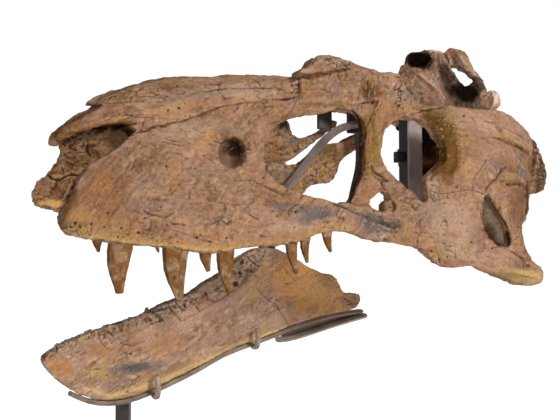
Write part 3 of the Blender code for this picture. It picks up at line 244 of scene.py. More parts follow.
class Surface:
    """The remeshed node: points, outward directions, and the layers laid on it."""

    def __init__(self, node, voxel, rounding):
        self.node = node
        carrier = add_object("bone_" + node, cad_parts[node].data.copy())
        remesh = carrier.modifiers.new("Remesh", "REMESH")
        remesh.mode = "VOXEL"
        remesh.voxel_size = voxel
        graph = bpy.context.evaluated_depsgraph_get()
        mesh = bpy.data.meshes.new_from_object(carrier.evaluated_get(graph))
        carrier.modifiers.clear()
        old, carrier.data = carrier.data, mesh
        bpy.data.meshes.remove(old)
        self.obj, self.mesh = carrier, mesh
        self.count = len(mesh.vertices)
        self.edges = values_of(mesh.edges, "vertices", 2).reshape(-1, 2)
        self.degree = np.bincount(self.edges.ravel(), minlength=self.count)[:, None]
        crisp = self.relaxed(vectors_of(mesh.vertices, "co"), 2)
        gap, way = other_bones(crisp, node)
        self.alone = smoothstep(gap, 0.003, 0.011)
        self.points = crisp + self.alone[:, None] * (self.relaxed(crisp, rounding) - crisp)
        join = np.minimum(0.48 * gap, 0.0024) * (1 - smoothstep(gap, 0.004, 0.009))
        self.points += way * join[:, None]
        self.write_points()
        self.normals = vectors_of(mesh.vertices, "normal")
        toward = np.sum(self.normals * way, axis=1) * (1 - smoothstep(gap, 0.004, 0.01))
        self.outward = self.normals - way * toward[:, None]
        self.skull = self.points - SKULL_ORIGIN
        self.x, self.y, self.z = self.skull.T
        self.height = np.zeros(self.count)
        self.paint = np.tile(TAN, (self.count, 1))
        self.u, self.v = picture(self.points)
        to_camera = CAMERA_PLACE - self.points
        to_camera /= np.linalg.norm(to_camera, axis=1)[:, None]
        self.seen = smoothstep(np.sum(self.normals * to_camera, axis=1), -0.35, 0.0)
        self.ragged_u = fractal(self.skull, 0.03, 301, 3)
        self.ragged_v = fractal(self.skull, 0.03, 401, 3)
        self.broken = fractal(self.skull, 0.012, 451, 2)

    def spread(self, values):
        """Sum of the values at the neighbours of each point."""
        a, b = self.edges.T
        total = np.bincount(a, weights=values[b], minlength=self.count)
        return total + np.bincount(b, weights=values[a], minlength=self.count)

    def relaxed(self, points, rounds):
        """Rounds off the facets while keeping the volume."""
        for _ in range(rounds):
            for share in (0.5, -0.53):
                mean = np.stack([self.spread(points[:, k]) for k in range(3)], 1) / self.degree
                points = points + share * (mean - points)
        return points

    def blurred(self, values, rounds):
        degree = self.degree[:, 0]
        for _ in range(rounds):
            values = 0.5 * values + 0.5 * self.spread(values) / degree
        return values

    def write_points(self):
        self.mesh.vertices.foreach_set("co", self.points.astype(np.float32).ravel())
        self.mesh.update()

    def tint(self, colour, mask):
        """Mixes the colour into the paint, by the mask."""
        self.paint += (colour - self.paint) * np.clip(mask, 0, 1)[:, None]

    def blend(self, colour, strength, pattern, low, high):
        self.tint(colour, strength * smoothstep(pattern, low, high))

    def near(self, line, width, ragged=1.5):
        """1 on the line, falling off with the width; the line lists u, v, u, v of its points."""
        line = np.reshape(line, (-1, 2)).astype(float)
        reach = 3 * width + ragged
        low, high = line.min(0) - reach, line.max(0) + reach
        inside = (self.u > low[0]) & (self.u < high[0]) & (self.v > low[1]) & (self.v < high[1])
        pick = np.flatnonzero(inside & (self.seen > 0))
        mask = np.zeros(self.count)
        if len(pick):
            u = self.u[pick] + ragged * self.ragged_u[pick]
            v = self.v[pick] + ragged * self.ragged_v[pick]
            distance, along = line_distance(u, v, line)
            taper = 0.45 + 0.55 * np.minimum(smoothstep(along, 0, 0.15), 1 - smoothstep(along, 0.85, 1))
            mask[pick] = np.exp(-((distance / (width * taper)) ** 2)) * self.seen[pick]
        return mask

    def spot(self, u, v, across, down=None, turn=0.0, ragged=0.45):
        """1 inside an ellipse with a ragged edge."""
        down = down or across
        c, s = math.cos(math.radians(turn)), math.sin(math.radians(turn))
        du, dv = self.u - u, self.v - v
        reach = np.hypot((du * c + dv * s) / across, (dv * c - du * s) / down)
        return (1 - smoothstep(reach + ragged * self.ragged_u, 0.55, 1.25)) * self.seen

    def stains(self, table):
        """Each row: a colour, its strength and a spot."""
        for colour, strength, *place in table:
            self.tint(colour, strength * self.spot(*place))

    def bands(self, table):
        """Each row: a colour, its strength, the width, the line and how ragged it is."""
        for colour, strength, width, line, *ragged in table:
            self.tint(colour, strength * self.near(line, width, *ragged))

    def cut(self, width, depth, darkness, line):
        """A crack, groove or crevice, carved and darkened with painted shade; depth in millimetres."""
        mask = self.near(line, width, 0.9) * (0.72 + 0.4 * self.broken)
        self.height -= 0.001 * depth * mask
        self.tint(DIRT_AND_SHADE, 0.9 * darkness * mask)
        self.tint(DARK, 0.55 * darkness * smoothstep(mask, 0.55, 1.0))

    def cuts(self, table):
        """Each row: a kind of crack and its lines."""
        for kind, lines in table:
            for line in lines:
                self.cut(*kind, line)

    def ridge(self, width, rise, colour, line):
        """A raised line; rise in millimetres."""
        mask = self.near(line, width, 0.8)
        self.height += 0.001 * rise * mask
        self.tint(colour, 0.8 * mask)

    def pit(self, u, v, radius, depth=3.0):
        """A round hole darkened with painted shade; radius in pixels, depth in millimetres."""
        distance = np.hypot(self.u - u, self.v - v) + 0.5 * radius * self.ragged_u
        mask = (1 - smoothstep(distance, 0.45 * radius, 1.2 * radius)) * self.seen
        self.height -= 0.001 * depth * mask
        self.tint(DIRT_AND_SHADE, 0.85 * mask)

    def finish(self, materials, second=None):
        """Writes the layers to the mesh; second is 1 where the second material goes."""
        self.points = self.points + self.outward * self.height[:, None]
        self.write_points()
        mesh, faces = self.mesh, self.mesh.polygons
        layer = mesh.color_attributes.new("paint", "FLOAT_COLOR", "POINT")
        rgba = np.ones((self.count, 4), np.float32)
        rgba[:, :3] = np.clip(self.paint, 0.001, 0.9)
        rgba[:, 3] = smoothstep(self.paint.mean(1), 0.0, 0.12)
        layer.data.foreach_set("color", rgba.ravel())
        mesh.materials.clear()
        for material in materials:
            mesh.materials.append(material)
        if second is not None:
            first = values_of(mesh.loops, "vertex_index")[values_of(faces, "loop_start")]
            faces.foreach_set("material_index", (second[first] > 0.5).astype(np.int32))
        faces.foreach_set("use_smooth", [True] * len(faces))
        mesh.update()
        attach(self.obj, "root")
        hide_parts(self.node)


# ---- Materials ----
def principled(name, roughness, metallic=0.0, specular=0.35):
    material = bpy.data.materials.new(name)
    material.use_nodes = True
    shader = material.node_tree.nodes["Principled BSDF"]
    shader.inputs["Roughness"].default_value = roughness
    shader.inputs["Metallic"].default_value = metallic
    shader.inputs["Specular IOR Level"].default_value = specular
    return material, material.node_tree, shader


def add_node(tree, kind, inputs, output, operation=None):
    """A new node's output; each input is set to a number, or linked to an output."""
    node = tree.nodes.new("ShaderNode" + kind)
    if operation:
        node.operation = operation
    for name, value in inputs.items():
        if isinstance(value, bpy.types.NodeSocket):
            tree.links.new(value, node.inputs[name])
        else:
            node.inputs[name].default_value = value
    return node.outputs[output]


def noise_node(tree, coordinates, scale, detail, roughness):
    inputs = {"Vector": coordinates, "Scale": scale, "Detail": detail, "Roughness": roughness}
    return add_node(tree, "TexNoise", inputs, "Fac")


def mapped(tree, value, low, high, to_low, to_high):
    """The value with low to high stretched to to_low to to_high."""
    inputs = {"Value": value, "From Min": low, "From Max": high, "To Min": to_low, "To Max": to_high}
    return add_node(tree, "MapRange", inputs, "Result")


def math_node(tree, operation, a, b):
    return add_node(tree, "Math", {0: a, 1: b}, "Value", operation)


def finish_material(tree, shader, colour, tone, roughness, relief, strength, depth):
    """Base colour, roughness and grain bump, which materials of both kinds have."""
    colour = add_node(tree, "VectorMath", {0: colour, "Scale": tone}, "Vector", "SCALE")
    tree.links.new(colour, shader.inputs["Base Color"])
    tree.links.new(roughness, shader.inputs["Roughness"])
    inputs = {"Strength": strength, "Distance": depth, "Height": relief}
    tree.links.new(add_node(tree, "Bump", inputs, "Normal"), shader.inputs["Normal"])


def bone_material(name, speckle, grain_depth, rough_low, rough_high, specular=0.28):
    """Painted colour with fine speckle, open pores, grain bump and uneven sheen.

    The paint's alpha is low where it is dark, so that crevices don't shine.
    """
    material, tree, shader = principled(name, 0.7)
    place = tree.nodes.new("ShaderNodeTexCoord").outputs["Object"]
    paint = tree.nodes.new("ShaderNodeAttribute")
    paint.attribute_name = "paint"
    sheen = math_node(tree, "MULTIPLY", paint.outputs["Alpha"], specular)
    tree.links.new(sheen, shader.inputs["Specular IOR Level"])
    fine = noise_node(tree, place, 420.0, 5.0, 0.7)
    middle = noise_node(tree, place, 110.0, 4.0, 0.65)
    pores = add_node(tree, "TexVoronoi", {"Vector": place, "Scale": 300.0}, "Distance")
    open_pores = mapped(tree, pores, 0.05, 0.28, 0.62, 1.0)
    tone = mapped(tree, fine, 0.3, 0.7, 1 - speckle, 1 + speckle)
    patches = mapped(tree, middle, 0.3, 0.7, 1 - speckle * 0.8, 1 + speckle * 0.8)
    tone = math_node(tree, "MULTIPLY", tone, patches)
    tone = math_node(tree, "MULTIPLY", tone, open_pores)
    roughness = mapped(tree, middle, 0.35, 0.65, rough_high, rough_low)
    fine_relief = math_node(tree, "MULTIPLY", fine, 0.6)
    middle_relief = math_node(tree, "MULTIPLY", middle, 1.4)
    relief = math_node(tree, "ADD", fine_relief, middle_relief)
    relief = math_node(tree, "ADD", relief, math_node(tree, "MULTIPLY", open_pores, 0.7))
    finish_material(tree, shader, paint.outputs["Color"], tone, roughness, relief, 0.8, grain_depth)
    return material


def steel_material(name, dark, light, smoothest=0.4):
    """Steel in two shades, with patches between them and a mill-scale grain."""
    material, tree, shader = principled(name, 0.45, metallic=0.35, specular=0.5)
    place = tree.nodes.new("ShaderNodeTexCoord").outputs["Object"]
    patches = noise_node(tree, place, 22.0, 5.0, 0.6)
    scale = noise_node(tree, place, 260.0, 4.0, 0.7)
    blend = tree.nodes.new("ShaderNodeMix")
    blend.data_type = "RGBA"
    tree.links.new(mapped(tree, patches, 0.35, 0.7, 0.0, 1.0), blend.inputs["Factor"])
    blend.inputs["A"].default_value = (*dark, 1)
    blend.inputs["B"].default_value = (*light, 1)
    tone = mapped(tree, scale, 0.3, 0.7, 0.8, 1.2)
    roughness = mapped(tree, patches, 0.3, 0.7, smoothest, 0.62)
    finish_material(tree, shader, blend.outputs["Result"], tone, roughness, scale, 0.5, 0.0006)
    return material


BONE = bone_material("fossil_bone", 0.22, 0.0026, 0.58, 0.82)
ROUGH_BONE = bone_material("fossil_bone_rough", 0.28, 0.0034, 0.72, 0.9, 0.2)
JAW_BONE = bone_material("fossil_jaw", 0.2, 0.0022, 0.52, 0.8)
TOOTH = bone_material("fossil_tooth", 0.16, 0.0007, 0.4, 0.6)
STEEL = steel_material("blackened_steel", (0.01, 0.006, 0.004), (0.03, 0.019, 0.014))
# Lighter copies of the steel, painted light on the front faces of the post and the curved bar.
POST_PAINTED_LIGHT_STEEL = steel_material("post_painted_light_steel", (0.19, 0.146, 0.132), (0.3, 0.235, 0.215))
PAINTED_LIGHT_STEEL = steel_material("painted_light_steel", (0.11, 0.08, 0.068), (0.18, 0.134, 0.118))
STRAP_STEEL = steel_material("strap_steel", (0.19, 0.13, 0.095), (0.3, 0.22, 0.17), 0.38)
VISIBLE_VOXEL, HIDDEN_VOXEL = ((0.0022, 0.0032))


def grain(p, angle, stretch):
    """The points with the direction at that angle in the X-Z plane drawn out."""
    c, s = math.cos(math.radians(angle)), math.sin(math.radians(angle))
    along, across = p[:, 0] * c + p[:, 2] * s, p[:, 2] * c - p[:, 0] * s
    return np.stack([along / stretch, p[:, 1], across], 1)


def creases(p, size, width, seed):
    """1 along thin branching lines."""
    bent = p + 0.15 * size * wobble(p, size * 0.7, seed)
    return np.exp(-((fractal(bent, size, seed + 5, 3) / width) ** 2))


def weather(s, angles, lumps):
    """The broken, mineralised skin that every bone has; its fibres run at the angles."""
    p = s.skull
    s.height += 0.0026 * lumps * fractal(p, 0.08, 3, 3)
    s.height += 0.0022 * lumps * fractal(p, 0.026, 7, 3, 0.6)
    blend = smoothstep(noise(p, 0.11, 91), -0.35, 0.35)
    shares = (1.0,) if len(angles) == 1 else (blend, 1 - blend)
    crack = np.zeros(s.count)
    for share, angle in zip(shares, angles):
        drawn = grain(p, angle, 3.5)
        s.height += share * 0.0026 * fractal(drawn, 0.02, 11, 4, 0.65)
        s.height += share * 0.0014 * fractal(grain(p, angle, 4.0), 0.007, 15, 2, 0.6)
        long_lines = creases(drawn, 0.036, 0.03, 23) * smoothstep(noise(p, 0.045, 31), 0.05, 0.45)
        crack += share * long_lines
    chipped = smoothstep(noise(p, 0.06, 141), 0.0, 0.5)
    flake, level = cells(p + 0.006 * wobble(p, 0.02, 151), 0.022, 161)
    s.height += 0.0016 * chipped * (level - 0.5) * (1 - smoothstep(flake, 0.45, 0.62))
    s.height -= 0.0022 * crack
    fine_lines = creases(p, 0.016, 0.1, 27) * smoothstep(noise(p, 0.05, 33), -0.25, 0.3)
    s.height -= 0.001 * fine_lines
    distance, mark = cells(p, 0.011, 41)
    pit = (1 - smoothstep(distance, 0.1, 0.28)) * (mark > 0.92)
    s.height -= 0.0022 * pit
    mottle = fractal(p, 0.07, 51, 4, 0.6)
    warm = fractal(p, 0.04, 61, 4, 0.6)
    fibres = fractal(grain(p, angles[0], 5.0), 0.01, 65, 3, 0.6)
    s.blend(PINK, 0.8, mottle, -0.05, 0.35)
    s.blend(BROWN, 0.75, -mottle, 0.05, 0.4)
    s.blend(OCHRE, 0.5, warm, 0.1, 0.5)
    s.blend(ORANGE, 0.5, -warm, 0.12, 0.5)
    s.blend(MAUVE, 0.4, fractal(p, 0.055, 67, 3), 0.15, 0.5)
    s.blend(BROWN, 0.6, fibres, 0.08, 0.5)
    s.blend(CHALK, 0.4, -fibres, 0.15, 0.55)
    s.blend(RUST, 0.4, fractal(p, 0.018, 69, 3, 0.6), 0.12, 0.45)
    s.blend(GREY, 0.45, fractal(p, 0.012, 71, 3, 0.6), 0.12, 0.45)
    # Painted shade in the cracks, pits and fine lines, over their carved depth.
    s.tint(DIRT_AND_SHADE, 0.45 * crack + 0.5 * pit + 0.24 * fine_lines)
    s.paint *= (1 + 0.34 * fractal(p, 0.009, 73, 3, 0.7))[:, None]


def broken_rock(s, mask, size, depth, seed, crevice_shade=0.7):
    """Craggy knobs of bone and rock, with painted shade in the low places and crevices; size and depth in
    metres.
    """
    bend = [fractal(s.skull, size * 1.5, seed + 3 * k, 3) for k in range(3)]
    p = s.skull + 0.5 * size * np.stack(bend, 1)
    crag = 1 - 2 * np.abs(fractal(p, size * 1.5, seed + 27, 4, 0.55))
    knob = fractal(p, size * 0.8, seed + 31, 4, 0.65)
    crevice = creases(p, size * 2.2, 0.045, seed + 37)
    crevice *= smoothstep(noise(p, size * 2, seed + 41), -0.3, 0.3)
    s.height += mask * depth * (0.5 * crag + 0.9 * knob - crevice - 0.3)
    s.blend(OLIVE, mask * 0.55, -knob, 0.0, 0.35)
    s.blend(GREY, mask * 0.45, crag, 0.4, 0.8)
    s.blend(OCHRE, mask * 0.3, fractal(p, size * 2, seed + 51, 2), 0.1, 0.5)
    # Painted shade in the low places and crevices.
    s.blend(DIRT_AND_SHADE, mask * crevice_shade, -knob - 0.5 * crag, 0.05, 0.55)
    s.tint(DARK, mask * crevice_shade * 0.7 * np.maximum(0.5 * crevice, smoothstep(-knob, 0.3, 0.6)))


def paint_relief_shade_and_highlight(s):
    """Painted shade in the hollows of the fine relief, and a painted highlight on its high points."""
    fine = s.height - s.blurred(s.height, 4)
    relief = s.height - s.blurred(s.height, 14)
    s.blend(DIRT_AND_SHADE, 0.8, -relief, 0.0002, 0.002)
    s.blend(DIRT_AND_SHADE, 0.4, -fine, 0.0002, 0.0009)
    s.blend(CHALK, 0.45, relief, 0.0002, 0.0014)


# ---- Marks on the outer wall of the skull, in picture coordinates ----
# Stains, some of them painted shade: colour, strength, then centre, half-axes and turn in degrees.
WALL_STAINS = [
    (RUST, 0.55, 70, 131, 26, 7, -25), (ORANGE, 0.55, 96, 200, 30, 24, 20), (OCHRE, 0.5, 92, 222, 34, 9, 5),
    (MOSS, 0.7, 371, 145, 11, 36), (OCHRE, 0.55, 373, 145, 10, 36), (RUST, 0.55, 364, 150, 6, 36),
    (OCHRE, 0.7, 454, 150, 12, 34), (STRAW, 0.45, 522, 276, 24, 7, 12), (UMBER, 0.18, 520, 274, 26, 12, 12),
    (PINK, 0.55, 300, 228, 34, 8, -4), (CHALK, 0.35, 440, 215, 24, 18, 10), (PINK, 0.55, 245, 78, 45, 7),
    # nasals
    (GREY, 0.55, 195, 95, 42, 9, -6), (MAUVE, 0.5, 232, 91, 24, 7, 4), (OCHRE, 0.4, 172, 110, 24, 7, -14),
    (OCHRE, 0.5, 246, 97, 14, 6), (PINK, 0.6, 92, 116, 14, 5, -28), (OLIVE, 0.55, 60, 137, 8),
    (GREY, 0.6, 96, 101, 10, 3, -25),
    # brow, lacrimal and horn
    (ORANGE, 0.35, 300, 90, 20, 8, 5), (MAUVE, 0.65, 337, 85, 9, 8), (PINK, 0.6, 325, 100, 9, 3, 4),
    (RUST, 0.9, 373, 91, 12, 7, 4), (OLIVE, 0.75, 371, 92, 9, 4, 4), (DIRT_AND_SHADE, 0.6, 368, 96, 5, 5, 4),
    (ORANGE, 0.5, 386, 112, 9, 14), (OCHRE, 0.45, 375, 145, 8, 20), (ORANGE, 0.5, 368, 195, 10),
    (GREY, 0.5, 330, 62, 20, 6), (GREY, 0.6, 410, 95, 10, 12), (OCHRE, 0.4, 408, 108, 12, 5, -15),
    (OLIVE, 0.6, 425, 104, 9, 3),
    # postorbital and squamosal
    # The brown, rust, olive and umber spots at the eye socket's rear rim are partly the bone's colour and
    # partly painted shade where the bone curves inward.
    (PINK, 0.8, 470, 118, 24, 9, 8), (PINK, 0.65, 508, 124, 12, 9, 40), (BROWN, 0.75, 448, 152, 13, 32),
    (RUST, 0.75, 451, 158, 9, 26), (OLIVE, 0.55, 440, 122, 20, 9, 32), (OLIVE, 0.7, 447, 142, 11, 30),
    (UMBER, 0.85, 449, 155, 12, 28), (BROWN, 0.7, 521, 207, 9, 26), (OCHRE, 0.45, 462, 138, 12, 10),
    (OCHRE, 0.35, 470, 165, 12, 18, 20), (SLATE, 0.85, 502, 164, 6, 5), (SLATE, 0.55, 520, 157, 7, 3),
    (SLATE, 0.75, 525, 173, 9, 5), (MAUVE, 0.6, 506, 197, 8, 5, 30), (ORANGE, 0.5, 503, 188, 12, 4),
    (OCHRE, 0.45, 512, 176, 10, 4), (BROWN, 0.55, 503, 160, 15, 9, 20), (BROWN, 0.7, 535, 172, 9, 26),
    (DIRT_AND_SHADE, 0.6, 539, 163, 7, 26),
    # jugal
    (SLATE, 1, 381, 222, 24, 8, 14), (DARK, 0.45, 388, 224, 13, 4, 16), (GREY, 0.8, 345, 208, 16, 4, 14),
    (SLATE, 0.85, 374, 231, 13, 6, 6), (MAUVE, 0.6, 392, 217, 10, 6), (CHALK, 0.45, 383, 235, 10, 3),
    (OCHRE, 0.6, 406, 229, 5, 8), (ORANGE, 0.55, 416, 230, 3, 7), (OCHRE, 0.8, 427, 239, 8, 9),
    (OCHRE, 0.45, 443, 253, 14, 7), (ORANGE, 0.4, 466, 247, 9, 12), (PINK, 0.65, 455, 212, 20, 16),
    (MAUVE, 0.5, 468, 228, 12, 6), (PINK, 0.6, 490, 258, 14, 8), (GREY, 0.45, 462, 243, 8, 4),
    (CHALK, 0.4, 432, 182, 6, 12), (STRAW, 0.5, 527, 277, 17, 7), (OLIVE, 0.4, 520, 279, 24, 5, 10),
    (PINK, 0.55, 440, 232, 26, 18), (MAUVE, 0.45, 430, 214, 20, 12), (CHALK, 0.22, 455, 222, 30, 20),
    (CHALK, 0.3, 462, 251, 24, 11, 12), (CHALK, 0.35, 292, 224, 26, 10, -4), (CHALK, 0.3, 252, 92, 34, 9),
    (CHALK, 0.3, 186, 130, 40, 9, -12), (PINK, 0.5, 486, 150, 20, 14), (GREY, 0.45, 492, 165, 14, 10),
    (CHALK, 0.3, 478, 128, 22, 10, 8), (OLIVE, 0.5, 515, 275, 10, 3, 5), (DIRT_AND_SHADE, 0.3, 520, 207, 10, 30),
    (BROWN, 0.4, 466, 142, 24), (BROWN, 0.4, 100, 198, 40, 30, 20),
    # maxilla; the brown spot at its front lower edge is a painted shadow
    (ORANGE, 0.7, 100, 186, 12, 15, 30), (BROWN, 0.6, 72, 200, 6, 16, 25), (OCHRE, 0.5, 84, 215, 14, 9),
    (OLIVE, 0.5, 78, 224, 13, 3), (ORANGE, 0.55, 129, 234, 10, 5), (ORANGE, 0.45, 210, 236, 12, 5),
    (MAUVE, 0.6, 142, 206, 17, 8, 10), (SLATE, 0.35, 144, 184, 9, 6), (MAUVE, 0.55, 160, 176, 7, 11),
    (ORANGE, 0.4, 172, 168, 10, 9), (PINK, 0.55, 165, 134, 20, 7, -12), (GREY, 0.45, 202, 171, 22, 7, 8),
    (MAUVE, 0.45, 185, 204, 15, 10), (MAUVE, 0.85, 221, 219, 11, 4), (SLATE, 0.5, 218, 218, 7, 3),
    (OCHRE, 0.6, 205, 143, 10, 7, -35), (OCHRE, 0.8, 211, 132, 3, 4), (GREY, 0.4, 232, 128, 14, 7),
    (PINK, 0.6, 256, 168, 10, 18), (PINK, 0.7, 265, 214, 11, 8), (SLATE, 0.75, 286, 207, 18, 5, 5),
    (SLATE, 0.95, 318, 213, 19, 7, 3), (SLATE, 0.8, 306, 220, 9, 6), (ORANGE, 0.35, 238, 225, 14, 7),
    (SLATE, 0.7, 60, 222, 3, 8), (OCHRE, 0.45, 333, 226, 20, 4, 8),
]
# Bands, some of them painted shade or painted highlight: colour, strength, width and line.
WALL_BANDS = [
    (RUST, 0.9, 2.6, [62, 139, 72, 134, 85, 129, 100, 125.5, 118, 122.5, 132, 121]),
    (OCHRE, 0.45, 2.2, [72, 130, 85, 125, 100, 121, 120, 118.5, 132, 118]),
    # Painted shadows under the lip of the nasal prong, and in the gap above it (this band and the next).
    (DARK, 0.97, 2, [58, 142.5, 75, 136.5, 92, 131.5, 110, 128, 125, 125.5, 137, 123.5]),
    (DARK, 0.97, 2.4, [87, 107.5, 94, 106, 101, 104.5]),
    (OCHRE, 0.75, 5, [68, 231, 90, 233, 112, 237, 140, 241, 165, 243, 190, 246, 240, 245]),
    (OCHRE, 0.65, 4, [240, 245, 262, 244, 290, 239, 310, 233, 330, 229]),
    (OLIVE, 0.7, 1.5, [300, 104, 312, 103.5, 330, 104.5, 345, 107]),
    (OCHRE, 0.6, 3, [295, 112, 315, 112, 333, 109]),
    # Painted shadow on the lacrimal's rim at the antorbital fenestra.
    (DARK, 0.92, 3.4, [353, 110, 359, 120, 361, 140, 360, 160, 358, 178, 353, 190, 350, 202]),
    (BROWN, 0.55, 3, [364, 115, 367, 140, 366, 165, 362, 185]),
    # Painted highlight along the postorbital ridge.
    (OCHRE, 0.75, 1.6, [496, 134, 508, 139, 522, 147, 531, 155]),
    (OLIVE, 0.8, 2, [498, 181, 508, 182, 518, 182]),
    (OLIVE, 0.7, 2.8, [488, 197, 494, 208, 501, 220, 506, 228]),
    (OCHRE, 0.6, 2, [191, 152, 196, 147, 203, 140, 211, 134]),
    # Painted shadow under the upper rim of the maxillary fenestra.
    (DARK, 0.95, 2.6, [221, 143, 227, 140, 235, 139, 241, 143, 245, 151, 245, 159, 242, 166]),
    # The dark band at the lower right of the lower temporal fenestra is a painted shadow.
    (BROWN, 0.6, 4, [300, 78, 320, 74, 340, 70, 352, 68]), (DARK, 0.95, 3, [507, 233, 509, 240, 508, 246]),
    (RUST, 0.8, 2, [484, 224, 486, 232, 490, 239]), (DARK, 0.6, 2.2, [372, 168, 376, 174, 383, 178]),
    # Painted shade on the rear rim of the eye socket, where the bone curves inward (this band and the next).
    (RUST, 0.8, 8, [426, 114, 437, 121, 446, 132, 450, 146, 448, 160, 442, 172]),
    (DIRT_AND_SHADE, 0.85, 5, [424, 117, 434, 123, 442, 134, 446, 148, 443, 160, 436, 170, 431, 180]),
    (DIRT_AND_SHADE, 0.95, 6.5, [535, 142, 541, 152, 544, 168, 542, 183, 536, 193]),
    # Painted shade on the rear rim of the eye socket (this band and the next).
    (UMBER, 0.95, 8, [430, 116, 437, 124, 443, 136, 444, 150, 441, 162, 436, 172]),
    (MOSS, 0.3, 6, [428, 110, 440, 116, 449, 127, 453, 142, 452, 156, 449, 170]),
    (MOSS, 0.55, 6, [371, 112, 375, 130, 376, 150, 373, 170]),
    (BROWN, 0.6, 5, [521, 190, 522, 205, 521, 222, 524, 240]),
    # Painted shade under the postorbital ridge.
    (OLIVE, 0.6, 3, [500, 137, 512, 143, 524, 151, 531, 158]),
    (DIRT_AND_SHADE, 0.7, 3.5, [528, 186, 529, 200, 527, 216, 531, 236]),
    # Painted shade under the shelf.
    (BROWN, 0.6, 3.5, [504, 186, 516, 187, 527, 190]),
    (STRAW, 0.5, 2.2, [72, 234, 92, 237, 112, 239.5, 140, 244, 165, 245.5, 190, 248, 215, 250, 240, 248]),
    (OLIVE, 0.6, 1.6, [66, 236, 92, 240, 120, 243.5, 150, 247, 190, 251.5, 225, 254, 262, 248, 300, 241]),
    (DIRT_AND_SHADE, 0.75, 3, [57, 140, 54.5, 134, 60, 127, 72, 120, 86, 113, 98, 106]),
    # Painted shadow along the front lower edge of the snout.
    (DIRT_AND_SHADE, 0.7, 3.5, [60, 236, 60, 228, 64, 214, 70, 202, 77, 190]),
]
